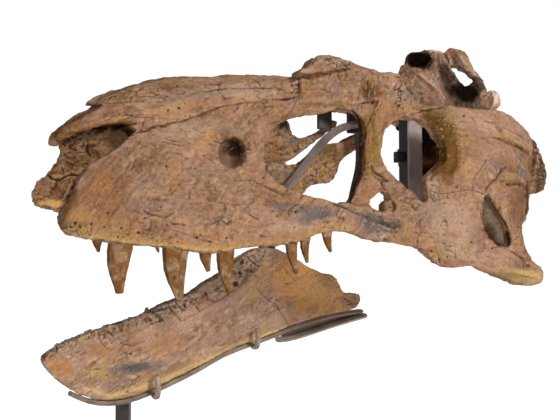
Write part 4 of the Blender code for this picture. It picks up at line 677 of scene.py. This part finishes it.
# Kinds of crack: width in pixels, depth in millimetres, darkness of their painted shade.
HAIRLINE = (0.8, 1.2, 0.55)
FINE = (0.9, 1.5, 0.65)
CRACK = (1.0, 2.0, 0.77)
DEEP = (1.2, 2.6, 0.83)
GASH = (1.5, 3.2, 0.9)
CREVICE = (2.0, 4.8, 0.93)
WALL_CUTS = [
    (HAIRLINE, [
        [185, 97, 192, 94.5, 200, 92], [100, 102, 107, 99, 116, 96],
        [208, 107, 216, 107, 225, 105.5, 240, 104.5], [222, 106.5, 243, 103, 270, 102], [361, 104, 361, 113],
        [350, 104.5, 361, 104], [373, 80, 374, 84], [378, 81, 378.5, 85],
        [450, 133, 457, 134, 462, 136, 470, 135], [487, 157, 482, 165, 477, 172, 472, 181],
        [484, 121, 490, 122, 496, 123], [251, 122, 254, 125, 257, 130], [253, 138, 256, 147],
        [232, 180, 245, 180.5, 256, 181], [199, 231, 203, 239, 215, 243], [254, 230, 260, 235, 267, 237],
        [234, 230, 238, 233], [316, 226, 326, 227, 333, 228], [322, 222, 330, 222],
    ]),
    (FINE, [
        [150, 92, 158, 94.5, 168, 95.5], [222, 95, 224, 98, 226, 100], [240, 97.5, 245, 100, 248, 103.5],
        [204, 86, 210, 88.5], [56, 132, 54.5, 137, 57, 141], [384, 84, 386, 88, 389, 86],
        [404, 112, 405, 117], [470, 118, 473, 122, 475, 126], [497, 178, 497.5, 165],
        [530, 181, 536, 180.5, 542, 180], [506, 113, 509, 115], [520, 275, 527, 277, 536, 278],
        [430, 184, 434, 186], [330, 203, 338, 206, 345, 208.5], [445, 219, 447, 229], [454, 250, 456, 258],
        [478, 254, 477, 257, 479, 259], [148, 134, 152, 142, 157, 149],
        [170, 152.5, 180, 153.5, 184, 156.5, 189, 158.5], [213, 139.5, 221, 143],
        [244, 137, 248, 143, 250, 147], [270, 188, 277, 190.5, 284, 193.5], [218, 221, 217, 227],
        [196, 237, 203, 241, 212, 242], [216, 232, 218, 237],
    ]),
    (CRACK, [
        [200, 90.5, 205, 92, 215, 90, 230, 88.5, 250, 88.5, 262, 88, 272, 88.5], [252, 79, 258, 82, 262, 88],
        [274, 86.5, 279, 89.5, 284, 91, 286, 93, 300, 92.5], [330, 67, 335, 68.5, 338, 71],
        [374, 107, 373, 113, 370, 119, 366, 126], [367.5, 80.5, 367, 85], [395, 76, 400, 77.5],
        [404, 73, 409, 78], [491, 203, 499, 214, 508, 229],
        [504, 249, 512, 252, 520, 256, 524, 261, 528, 267], [430, 191, 431, 197, 436, 203],
        [334, 204, 342, 206, 350, 210.5, 357, 213.5, 364, 215.5, 371, 218],
        [419.5, 220, 421, 231, 417.5, 238, 416.5, 246], [412, 207, 416, 210, 419, 205],
        [248, 213.5, 253, 217, 259, 219.5], [189.5, 192, 190, 199], [133, 210.5, 139, 212.5],
        [144, 210, 150, 214], [164, 218, 168, 216.5, 174, 212],
        [211, 225, 220, 220.5, 226, 224.5, 232, 219.5], [91, 239.5, 97, 240.5, 104, 240],
        [110, 241.5, 120, 243, 128, 245, 135, 246.5], [161, 247, 168, 246.5, 174, 247, 182, 250, 190, 251],
        [217, 250.5, 224, 252, 231, 251, 238, 250], [289, 242, 295, 243.5, 303, 241],
    ]),
    (DEEP, [
        [172, 122.5, 181, 121.5, 190, 118, 200, 114.5, 210, 111, 222, 106.5], [333, 56, 339, 57, 345, 59],
        [341, 61, 344, 64, 348, 67], [396, 85, 394, 89, 393, 94], [399, 118, 407, 116, 414, 113, 421, 111],
        [406, 87, 410, 91, 413, 95], [256, 183, 263, 186, 270, 189.5, 278, 193, 284, 196],
        [211, 203.5, 212.5, 209], [224.5, 203.5, 226, 209], [169, 221.5, 173, 224.5, 178, 224, 186, 225],
    ]),
    (GASH, [
        [136, 133, 145, 130.5, 153, 127, 158, 125.5, 165, 126.5, 172, 122.5],
        [303, 78.5, 312, 78, 320, 75, 328, 73.5, 335, 71, 350, 68.5], [312, 65, 315, 61, 317, 58],
        [361, 103.5, 367, 102.5, 373, 102.5], [419, 109, 427, 110, 434, 109, 443, 107],
        [494, 136.5, 507, 142, 513, 145, 520, 148, 528, 153, 531, 159],
        [486.5, 189.5, 490, 184, 496, 179, 500, 173, 505, 168, 509, 165],
        [371, 165, 374, 171, 380, 176, 387, 180], [374, 177, 380, 180, 388, 181],
        [242, 145, 247, 148, 251, 150],
    ]),
    (CREVICE, [
        [371, 102, 376, 102, 375, 107], [506, 184, 518, 184, 524, 185, 528, 188],
        [529, 181, 527.5, 188, 527, 200, 525, 216],
        [381, 182, 384, 188, 389, 195, 393, 202, 395, 207, 393, 212],
    ]),
]
# Pits: centre and radius.
WALL_PITS = [
    (179, 108, 1.4), (168, 110, 1.2), (292, 85.5, 1.4), (115, 96.5, 1.5), (177, 86, 1.2), (398.5, 105.5, 2),
    (267, 145, 2.2), (265.5, 157, 1.8), (166, 166.5, 1.6), (295.5, 211.5, 1.4), (302, 208, 1),
    (277, 216, 1.2), (161, 207, 1.2), (138.5, 232.5, 1.6), (121, 228, 1.2), (104, 227, 1.5), (91, 224, 1.4),
    (75, 223, 1.6), (80, 227, 1.4), (70, 227, 1.2), (197, 238, 1.3), (152, 238, 1), (108, 213, 1.1),
    (472, 242, 1.1), (431, 251, 1.4), (528.5, 265.5, 1.6), (463, 117, 1.2), (373.5, 211, 1.1),
    (447, 257, 1.1), (439, 260, 1.3), (145, 218, 1), (118, 237, 1), (176, 235, 1.1), (226, 238, 1),
    (249, 232, 1), (330, 75, 1), (356, 72, 0.9), (362, 74, 0.9), (405, 100, 1.1), (411, 101, 1),
]
# The lower edge of the upper jaw, where its teeth start.
GUM_LINE = [
    55, 231, 72, 237, 92, 239, 110, 241.5, 135, 246, 152, 246, 165, 247, 190, 250.5, 215, 252.5, 240, 250,
    260, 248, 285, 243, 305, 240.5, 325, 236, 345, 231, 360, 228,
]


# Swellings (+) and hollows (-): millimetres, then centre, half-axes and turn.
WALL_FORMS = [
    # tooth roots along the maxilla
    (4, 118, 222, 9, 16, 4), (4, 174, 226, 9, 16, 4), (3, 226, 230, 9, 15, 4), (-2.5, 146, 228, 7, 12),
    (-2.5, 200, 232, 7, 12), (-2, 95, 222, 6, 10), (3, 292, 226, 8, 10),
    # snout
    (3.5, 150, 178, 34, 18, -25), (-3, 196, 165, 24, 12, 10), (3, 262, 185, 22, 14, 20),
    (-3, 212, 205, 20, 8, 5),
    # brow and bar
    (4, 338, 84, 26, 9, 5), (-3.5, 316, 108, 24, 5, 3), (5, 384, 92, 14, 14), (-4, 368, 130, 6, 22, -6),
    # behind the eye socket
    (6, 462, 118, 26, 10, 10), (-6, 448, 152, 9, 24), (4, 474, 160, 12, 26, 25), (-7, 504, 162, 16, 10, 20),
    (5, 517, 140, 22, 4, 32), (4, 541, 168, 5, 24), (5, 528, 212, 7, 22), (-6, 532, 165, 3.5, 24, 8),
    (-4, 516, 196, 10, 9), (4, 447, 222, 24, 16), (-3, 478, 212, 8, 16, 15), (3, 500, 262, 22, 7, 20),
    (-4, 384, 221, 22, 5, 14),
]
# Patches broken to rubble: depth in metres, then centre, half-axes and turn.
WALL_RUBBLE = [
    (0.002, 296, 92, 7, 16), (0.002, 70, 160, 20, 20), (0.005, 408, 92, 20, 15, -15),
    (0.0035, 380, 90, 16, 10), (0.006, 540, 166, 8, 28), (0.003, 524, 172, 12, 9),
    (0.0025, 447, 254, 22, 9, 12), (0.0035, 382, 224, 24, 9, 14), (0.0035, 222, 220, 14, 6),
    (0.0035, 438, 190, 9, 16), (0.003, 90, 232, 40, 5, 5),
]


def mark_wall(s):
    for number, (depth, *place) in enumerate(WALL_RUBBLE):
        broken_rock(s, s.spot(*place), 0.02, depth, 801 + 60 * number, 0.4)
    for rise, *place in WALL_FORMS:
        s.height += 0.001 * rise * s.spot(*place, ragged=0.2)
    s.stains(WALL_STAINS)
    s.bands(WALL_BANDS)
    s.cuts(WALL_CUTS)
    for u, v, radius in WALL_PITS:
        s.pit(u, v, radius)


def mark_quadrate(s):
    """The quadrate's shaft through the lower temporal fenestra, painted pale as painted light on bone in
    shade, with a painted shadow along its right edge.
    """
    s.stains([(IVORY, 0.85, 496, 218, 12, 28, -20, 0.3)])
    s.bands([(DARK, 0.9, 3.0, [498, 206, 506, 226, 510, 244], 1.0)])
    s.stains([(OLIVE, 0.6, 490, 230, 5, 10, -15)])


def mark_maxilla(s):
    """The floor of the maxillary fenestra in painted shade, with a painted shadow under its upper rim, and
    the uneven edge above the teeth.
    """
    hollow = s.spot(231.5, 154, 12.5, 15, 0, 0.15)
    s.height -= 0.005 * hollow
    s.tint(SHADE, 0.9 * hollow)
    margin = smoothstep(0.022 - s.z, 0.0, 0.02) * (1 - teeth_of(s))
    along = np.stack([s.x, 0 * s.x, 0 * s.x], 1)
    s.height += margin * (0.006 * noise(along, 0.034, 911) + 0.004 * noise(along, 0.013, 921))
    # The dark spot is a painted shadow under the fenestra's upper rim.
    s.stains([(GREY, 0.5, 227, 161, 6), (DARK, 0.97, 236, 147, 10, 9, 30, 0.35)])


def mark_crest(s):
    s.height -= 0.004 * s.spot(420, 60, 15, 9, 5, 0.3)
    # The pink and chalk spots are painted light on the crest's front face, which is turned from the key
    # light.
    s.stains([
        (PINK, 0.75, 424, 90, 24, 20), (CHALK, 0.35, 420, 82, 14, 9), (GREY, 0.6, 404, 67, 4, 6),
        (PINK, 0.5, 425, 85, 14), (SLATE, 0.7, 433, 60, 6, 4),
    ])
    s.ridge(1.6, 1.5, TAN, [406, 63, 413, 67, 420, 70.5, 426, 70])
    s.cut(1.2, 2.5, 0.9, [444, 53, 447, 58, 449, 63])
    s.cut(1.0, 2.0, 0.8, [452, 57, 455, 62, 453, 66])
    s.cut(1.2, 2.0, 0.8, [458, 66, 465, 71, 471, 74, 476, 78])
    s.cut(0.9, 1.5, 0.6, [463, 58, 468, 64])


# Dark places on the crest: how dark, and the spot. The pocket, the window's rim, and the foot.
CREST_SHADOWS = [
    (1, 419, 60, 18, 10.5, 8, 0.25), (0.8, 446, 74, 8, 17, -28, 0.4), (0.97, 463, 92, 20, 12, 22, 0.4),
    (0.8, 478, 84, 9, 9, 40, 0.4),
]


def crest_shadow(s):
    """Share of light kept on the crest; the knob behind it stays light."""
    dark = 1 - smoothstep(s.z, 0.345, 0.362)
    for share, *place in CREST_SHADOWS:
        dark = np.maximum(dark, share * s.spot(*place))
    knob = s.spot(488, 102, 14, 10, -20, 0.2)
    back = smoothstep(s.u, 446, 458)
    return (1 - 0.97 * dark * (1 - 0.9 * knob)) * (1 - 0.45 * (1 - 0.7 * knob) * back)


TEETH_END = 352
TEETH_TOP = 0.02


def teeth_of(s):
    """1 below the edge of the jaw bone, where the tooth crowns are."""
    gum = np.interp(s.u, GUM_LINE[::2], GUM_LINE[1::2])
    return smoothstep(s.v - gum, 0.6, 2.2) * (s.z < TEETH_TOP) * (s.u < TEETH_END)


def paint_teeth(s, tooth):
    p = s.skull
    streaks = fractal(p / np.array((1, 1, 7)), 0.007, 501, 3, 0.6)
    s.height = s.height * (1 - 0.75 * tooth) - 0.0006 * tooth * smoothstep(streaks, 0.25, 0.6)
    patches = fractal(p, 0.022, 511, 3)
    s.tint(TOOTH_BROWN, tooth)
    s.blend(TOOTH_LIGHT, 0.8 * tooth, patches, 0.05, 0.35)
    s.blend(TOOTH_DARK, 0.7 * tooth, -patches, 0.05, 0.4)
    crazing = creases(p, 0.012, 0.09, 521)
    s.blend(GREY, 0.45 * tooth * crazing, patches, -0.2, 0.2)
    s.blend(DARK, 0.55 * tooth, streaks, 0.22, 0.55)
    # Painted shade on the sides of the teeth that face the snout, away from the key light.
    s.blend(DARK, 0.55 * tooth, -s.normals[:, 0], 0.45, 0.95)


# Cracks of the snout: width and line.
SNOUT_CUTS = [
    (2.2, [80, 146, 88, 147, 92, 150, 97, 154]), (1.8, [84, 143, 87, 150, 90, 156]),
    (1.8, [62, 168, 64, 175, 60, 181]), (1.6, [58, 178, 55, 186, 50, 192]),
    (2.5, [73, 180, 74, 185, 71, 189]), (1.4, [66, 160, 72, 163, 78, 160]),
    (1.6, [96, 150, 100, 158, 94, 163]), (1.5, [46, 176, 52, 172]),
]


def mark_snout(s):
    """The broken premaxillae: lumps of bone and rock, and the smooth wall behind them."""
    wall = s.spot(114, 140, 20, 11, -30, 0.2)
    under = s.spot(54, 204, 15, 4.0, 3)
    rough = (1 - wall) * (1 - 0.8 * under)
    broken_rock(s, rough, 0.04, 0.0105, 601, 0.5)
    s.height += 0.006 * s.spot(96, 133, 16, 6, 0, 0.1)
    s.tint(FAWN, 0.9 * wall)
    s.stains([(PINK, 0.6, 42, 188, 9, 8), (GREY, 0.6, 61, 156, 6, 7)])
    s.tint(1.3 * STRAW, 0.9 * under)
    s.tint(OLIVE, 0.45 * s.spot(80, 158, 22, 14, -40) * (1 - wall))
    s.tint(BROWN, 0.45 * s.spot(66, 180, 20, 16, -40) * (1 - wall))
    for width, line in SNOUT_CUTS:
        s.cut(width, 5.0, 0.92, line)
    # Painted shadow under the lip of the nasal prong.
    s.bands([(DARK, 0.8, 2.5, [62, 142, 80, 136, 100, 131, 120, 128, 136, 126], 1.0)])


def mark_orbit(s):
    """Painted shade on the bone behind the eye socket, clear of the post in front."""
    s.stains([
        (ORBIT_SHADE, 0.8, 434, 140, 20, 22), (CLAY, 0.9, 435, 155, 6, 7, 0, 0.6), (ASH, 0.8, 427, 153, 3, 5),
        (DARK, 0.9, 430, 130, 12, 8), (DARK, 0.9, 428, 172, 9),
    ])
    far_corner = smoothstep(s.y, -0.005, 0.02) * (1 - smoothstep(s.x, 1.04, 1.09))
    s.height -= 0.022 * far_corner


# Mottling of the inner bones: colour, strength, size in metres and seed.
INSIDE_PATCHES = [(STRAW, 0.45, 0.014, 691), (OCHRE, 0.5, 0.035, 671), (BROWN, 0.5, 0.045, 681)]


def mark_inside(s):
    """Palate bones and braincase: rough, with painted shade in their hollows and rock still on them."""
    rubble = 0.9 * smoothstep(fractal(s.skull, 0.05, 651, 2), -0.3, 0.1)
    broken_rock(s, rubble, 0.016, 0.0045, 661)
    for colour, strength, size, seed in INSIDE_PATCHES:
        s.blend(colour, strength, fractal(s.skull, size, seed, 3), 0.0, 0.4)
    s.stains([
        (DARK, 0.9, 283, 125, 5, 4), (ORANGE, 0.6, 275, 143, 4, 12), (SLATE, 0.6, 296, 140, 14, 5, -10),
        (UMBER, 0.6, 328, 154, 16, 11), (GREY, 0.8, 278, 173, 10, 8),
    ])


JAW_STAINS = [
    (PINK, 0.7, 175, 325, 50, 10, -25), (ORANGE, 0.75, 62, 368, 15, 9, 20),
    (ORANGE, 0.5, 100, 352, 16, 6, -10), (OCHRE, 0.45, 98, 372, 14, 8), (ORANGE, 0.4, 165, 345, 20, 8, -25),
    (SLATE, 0.9, 133, 368, 22, 6, -6), (SLATE, 0.6, 155, 366, 12, 6, -10),
    (MAUVE, 0.6, 120, 382, 16, 4, -10), (MAUVE, 0.55, 200, 345, 34, 6, -25),
    (GREY, 0.45, 80, 345, 22, 5, -25), (OCHRE, 0.6, 255, 285, 18, 14, -40),
    (ORANGE, 0.75, 289, 273, 12, 12, 40), (BROWN, 0.4, 285, 256, 18, 8), (AMBER, 0.85, 306, 286, 46, 24, 22),
    (OCHRE, 0.55, 322, 294, 28, 12, 15), (DARK, 0.4, 133, 368, 17, 4.5, -6),
    (BROWN, 0.45, 325, 280, 16, 8, 40), (PINK, 0.55, 275, 322, 20, 7, -20), (BROWN, 0.6, 350, 300, 10, 8),
    (DARK, 0.7, 43, 357, 3, 5),
]
JAW_CUTS = [
    (HAIRLINE, [[255, 286, 265, 297, 273, 303]]),
    (FINE, [
        [181, 322, 195, 314, 212, 304, 229, 295], [283, 266, 290, 275, 296, 281], [290, 268, 300, 280],
        [120, 344, 133, 346, 145, 341],
    ]),
    (CRACK, [
        [98, 333, 101, 342, 106, 348], [77, 339, 76, 346], [136, 320, 137, 327],
        [131, 380.5, 136, 380.5, 140, 375], [275, 303, 280, 310, 284, 317, 289, 326],
        [344, 298, 350, 302, 353, 308], [347, 305, 357, 303],
    ]),
    (DEEP, [
        [156, 312, 164, 321], [169, 306, 175, 314, 181, 322], [119, 325, 122, 332],
        [190, 300, 196, 306, 200, 312],
    ]),
    (GASH, [[153, 311, 157, 316, 161, 322], [205, 291, 208, 299, 214, 302], [226, 290, 229, 296]]),
]
JAW_BANDS = [
    (GREY, 0.6, 2.2, [45, 353, 70, 339, 100, 329, 150, 314, 200, 291, 218, 282], 1),
    (STRAW, 0.75, 3.2, [85, 388, 110, 396, 140, 388, 165, 379, 200, 363, 240, 345, 285, 328], 1.2),
    (BROWN, 0.55, 2, [222, 316, 213, 322, 200, 340, 185, 351, 165, 356], 1.2),
]
# The broken bone along the jaw's upper edge, and the tooth sockets behind it.
JAW_PLATES = [50, 350, 70, 341, 100, 331, 130, 322, 150, 317, 175, 307, 205, 294]
JAW_SOCKETS = [215, 291, 228, 284, 240, 272, 252, 260, 262, 250]


def mark_jaw(s):
    s.stains(JAW_STAINS)
    plates = s.near(JAW_PLATES, 8.0)
    s.tint(BROWN, 0.55 * plates)
    broken_rock(s, plates, 0.026, 0.009, 701, 0.85)
    sockets = s.near(JAW_SOCKETS, 8.0, 2.0)
    broken_rock(s, np.clip(1.5 * sockets, 0, 1), 0.024, 0.008, 711, 0.75)
    s.bands([(DIRT_AND_SHADE, 0.8, 3.0, [232, 292, 243, 281, 254, 268, 263, 256], 2.0)])
    s.blend(OLIVE, 0.55 * sockets, fractal(s.skull, 0.02, 715, 2), 0.0, 0.4)
    for u, v in ((243, 262), (240, 273), (236, 284)):
        s.pit(u, v, 2.4, 6.0)
    s.bands(JAW_BANDS)
    s.ridge(1.5, 1.2, PINK, [202, 334, 190, 344, 180, 350])
    s.ridge(1.5, 1.8, PINK, [242, 300, 250, 290, 258, 285, 264, 278, 270, 271, 281, 261])
    s.cuts(JAW_CUTS)
    s.pit(131, 354, 1.4)
    s.pit(107, 375, 1.1)
    s.ridge(1.6, 1.0, CHALK, [131, 377, 136, 376])


def mark_horn(s):
    broken_rock(s, s.spot(345, 62, 30, 9, 8), 0.016, 0.0065, 631)


# Each bone: its fibres' angles in the X-Z plane, and its marks in the order they are laid.
BONES = {
    "nasals": ((12, 5), [mark_wall]),
    "frontals": ((5, 0), [mark_wall]),
    "lacrimal_horn_left": ((10,), [mark_wall, mark_horn]),
    "maxilla_left": ((50, -8), [mark_wall, mark_maxilla]),
    "lacrimal_left": ((8, 82), [mark_wall]),
    "jugal_left": ((-15,), [mark_wall]),
    "postorbital_left": ((-20, 70), [mark_wall]),
    "squamosal_left": ((-45, -60), [mark_wall]),
    "quadratojugal_left": ((75, 40), [mark_wall]),
    "quadrate_left": ((70, 20), [mark_wall, mark_quadrate]),
    "parietal_crest": ((60, 20), [mark_wall, mark_crest]),
    "premaxillae": ((10,), [mark_snout]),
    "braincase": ((10,), [mark_inside, mark_orbit]),
    "palatine_left": ((10,), [mark_inside]),
    "pterygoid_left": ((10,), [mark_inside]),
    "maxilla_right": ((10,), []),
    "dentary_right": ((27, 20), [mark_jaw]),
}
ROUGH = ("premaxillae", "braincase", "palatine_left", "pterygoid_left")
LUMPY = ROUGH + ("lacrimal_horn_left", "parietal_crest")
# The foot of the horn, filled out where three bones meet.
HORN_FOOT = (299, 79, 7, 5, 0, 0.1)
HORN_FOOT_BONES = ("nasals", "lacrimal_horn_left", "lacrimal_left")
# Limits of the relief, in metres: the cut at a seam, the cut added away from it, and the rise.
SEAM_CUT = 0.002
FREE_CUT = 0.012
BRAINCASE_CUT = 0.02
HIGHEST_RISE = 0.005
CREST_TOP = cad_box[1][2] - 0.001
# How dark each bone is against the palette. The crest's higher gain is painted light on a face turned from
# the key light, and the braincase's low gain is painted shade inside the skull.
SKULL_GAIN = rgb(0.64, 0.57, 0.5)
GAINS = {
    "dentary_right": rgb(0.82, 0.8, 0.78),
    "premaxillae": rgb(0.6, 0.47, 0.34),
    "braincase": rgb(0.3, 0.24, 0.18),
    "parietal_crest": rgb(1.35, 1.35, 1.45),
    "frontals": rgb(0.75, 0.68, 0.62),
}


def make_bone(node):
    s = Surface(node, HIDDEN_VOXEL if node == "maxilla_right" else VISIBLE_VOXEL, 12)
    angles, marks = BONES[node]
    weather(s, angles, 1.5 if node in LUMPY else 1.0)
    for mark in marks:
        mark(s)
    paint_relief_shade_and_highlight(s)
    s.paint *= GAINS.get(node, SKULL_GAIN)
    if node == "parietal_crest":
        s.paint *= crest_shadow(s)[:, None]
    tooth = None
    if node in ("maxilla_left", "maxilla_right"):
        tooth = teeth_of(s)
        paint_teeth(s, tooth)
    free_cut = BRAINCASE_CUT if node == "braincase" else FREE_CUT
    s.height = np.clip(s.height, -SEAM_CUT - free_cut * s.alone, HIGHEST_RISE)
    if node in HORN_FOOT_BONES:
        s.height += 0.007 * s.spot(*HORN_FOOT)
    s.height = np.minimum(s.height, np.maximum(CREST_TOP - s.points[:, 2], 0.0))
    if node == "dentary_right":
        s.finish((JAW_BONE, TOOTH))
    elif node in ROUGH:
        s.finish((ROUGH_BONE, TOOTH))
    else:
        s.finish((BONE, TOOTH), tooth)


# Parts whose front faces get the lighter steel as painted light.
PAINTED_LIGHT_FRONTS = ("stand_post", "stand_curved_bar")
# Parts drawn out at one end to meet the part they are welded to: heights between, and metres.
WELDS = {"stand_leg": (0.4, 0.43, 0.009), "stand_riser": (0.59, 0.62, -0.022)}


def make_steel(node):
    """The post and the curved bar get a lighter copy of the steel on their front faces, as painted light."""
    piece = add_object("steel_" + node.removeprefix("stand_"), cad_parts[node].data.copy())
    piece.data.materials.clear()
    piece.data.materials.append(STRAP_STEEL if "jaw" in node else STEEL)
    piece.data.materials.append(POST_PAINTED_LIGHT_STEEL if node == "stand_post" else PAINTED_LIGHT_STEEL)
    # Front faces take the second, lighter steel: painted light.
    if node in PAINTED_LIGHT_FRONTS:
        for face in piece.data.polygons:
            face.material_index = int(face.normal.y < -0.7)
    if node in WELDS:
        low, high, reach = WELDS[node]
        for vertex in piece.data.vertices:
            if low < vertex.co.z < high:
                vertex.co.z += reach
    bevel = piece.modifiers.new("Softened edges", "BEVEL")
    bevel.width = 0.0008
    bevel.segments = 2
    bevel.limit_method = "ANGLE"
    bevel.angle_limit = math.radians(40)
    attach(piece, "root")
    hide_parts(node)


for name in sorted(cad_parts):
    if name.startswith("stand_"):
        make_steel(name)
    else:
        make_bone(name)


# ---- Camera, floor and light ----
SENSOR = 36.0
FLOOR_RADIUS = 30.0
FLOOR_SIDES = 64

camera_data = bpy.data.cameras.new("camera")
camera = add_object("camera", camera_data)
camera_data.sensor_fit = "HORIZONTAL"
camera_data.sensor_width = SENSOR
camera_data.lens = FOCAL_PIXELS * SENSOR / PICTURE_WIDTH
camera.location = CAMERA_PLACE
camera.rotation_euler = (math.pi / 2 + CAMERA_PITCH, 0, -CAMERA_AZIMUTH)
bpy.context.scene.camera = camera


def make_floor():
    mesh = bpy.data.meshes.new("floor")
    turns = np.linspace(0, 2 * math.pi, FLOOR_SIDES + 1)[:-1]
    rim = [(FLOOR_RADIUS * math.cos(a), FLOOR_RADIUS * math.sin(a), 0.0) for a in turns]
    mesh.from_pydata(rim, [], [list(range(FLOOR_SIDES))])
    floor = add_object("floor", mesh)
    material, tree, shader = principled("floor", 0.9, specular=0.1)
    shader.inputs["Base Color"].default_value = (0.9, 0.9, 0.9, 1)
    shader.inputs["Emission Color"].default_value = (1, 1, 1, 1)
    shader.inputs["Emission Strength"].default_value = 1.0
    mesh.materials.append(material)


def area_light(name, place, size, power):
    """A round light that looks at the middle of the skull."""
    data = bpy.data.lights.new(name, "AREA")
    data.shape = "DISK"
    data.size = size
    data.energy = power
    light = add_object(name, data)
    light.location = place
    light.rotation_euler = (Vector((0, 0, 0.9)) - Vector(place)).to_track_quat("-Z", "Y").to_euler()


def make_light():
    """White surroundings that light the part softly, a key light and a front light."""
    world = bpy.data.worlds.new("studio")
    bpy.context.scene.world = world
    world.use_nodes = True
    tree = world.node_tree
    background = tree.nodes["Background"]
    background.inputs["Color"].default_value = (1, 1, 1, 1)
    rays = tree.nodes.new("ShaderNodeLightPath")
    strength = mapped(tree, rays.outputs["Is Camera Ray"], 0.0, 1.0, 0.26, 1.05)
    tree.links.new(strength, background.inputs["Strength"])
    area_light("key", (0.9, -3.4, 2.6), 0.9, 165)
    area_light("front", (-2.2, -3.2, 1.0), 2.0, 22)


make_floor()
make_light()
bpy.context.scene.view_settings.view_transform = "Standard"
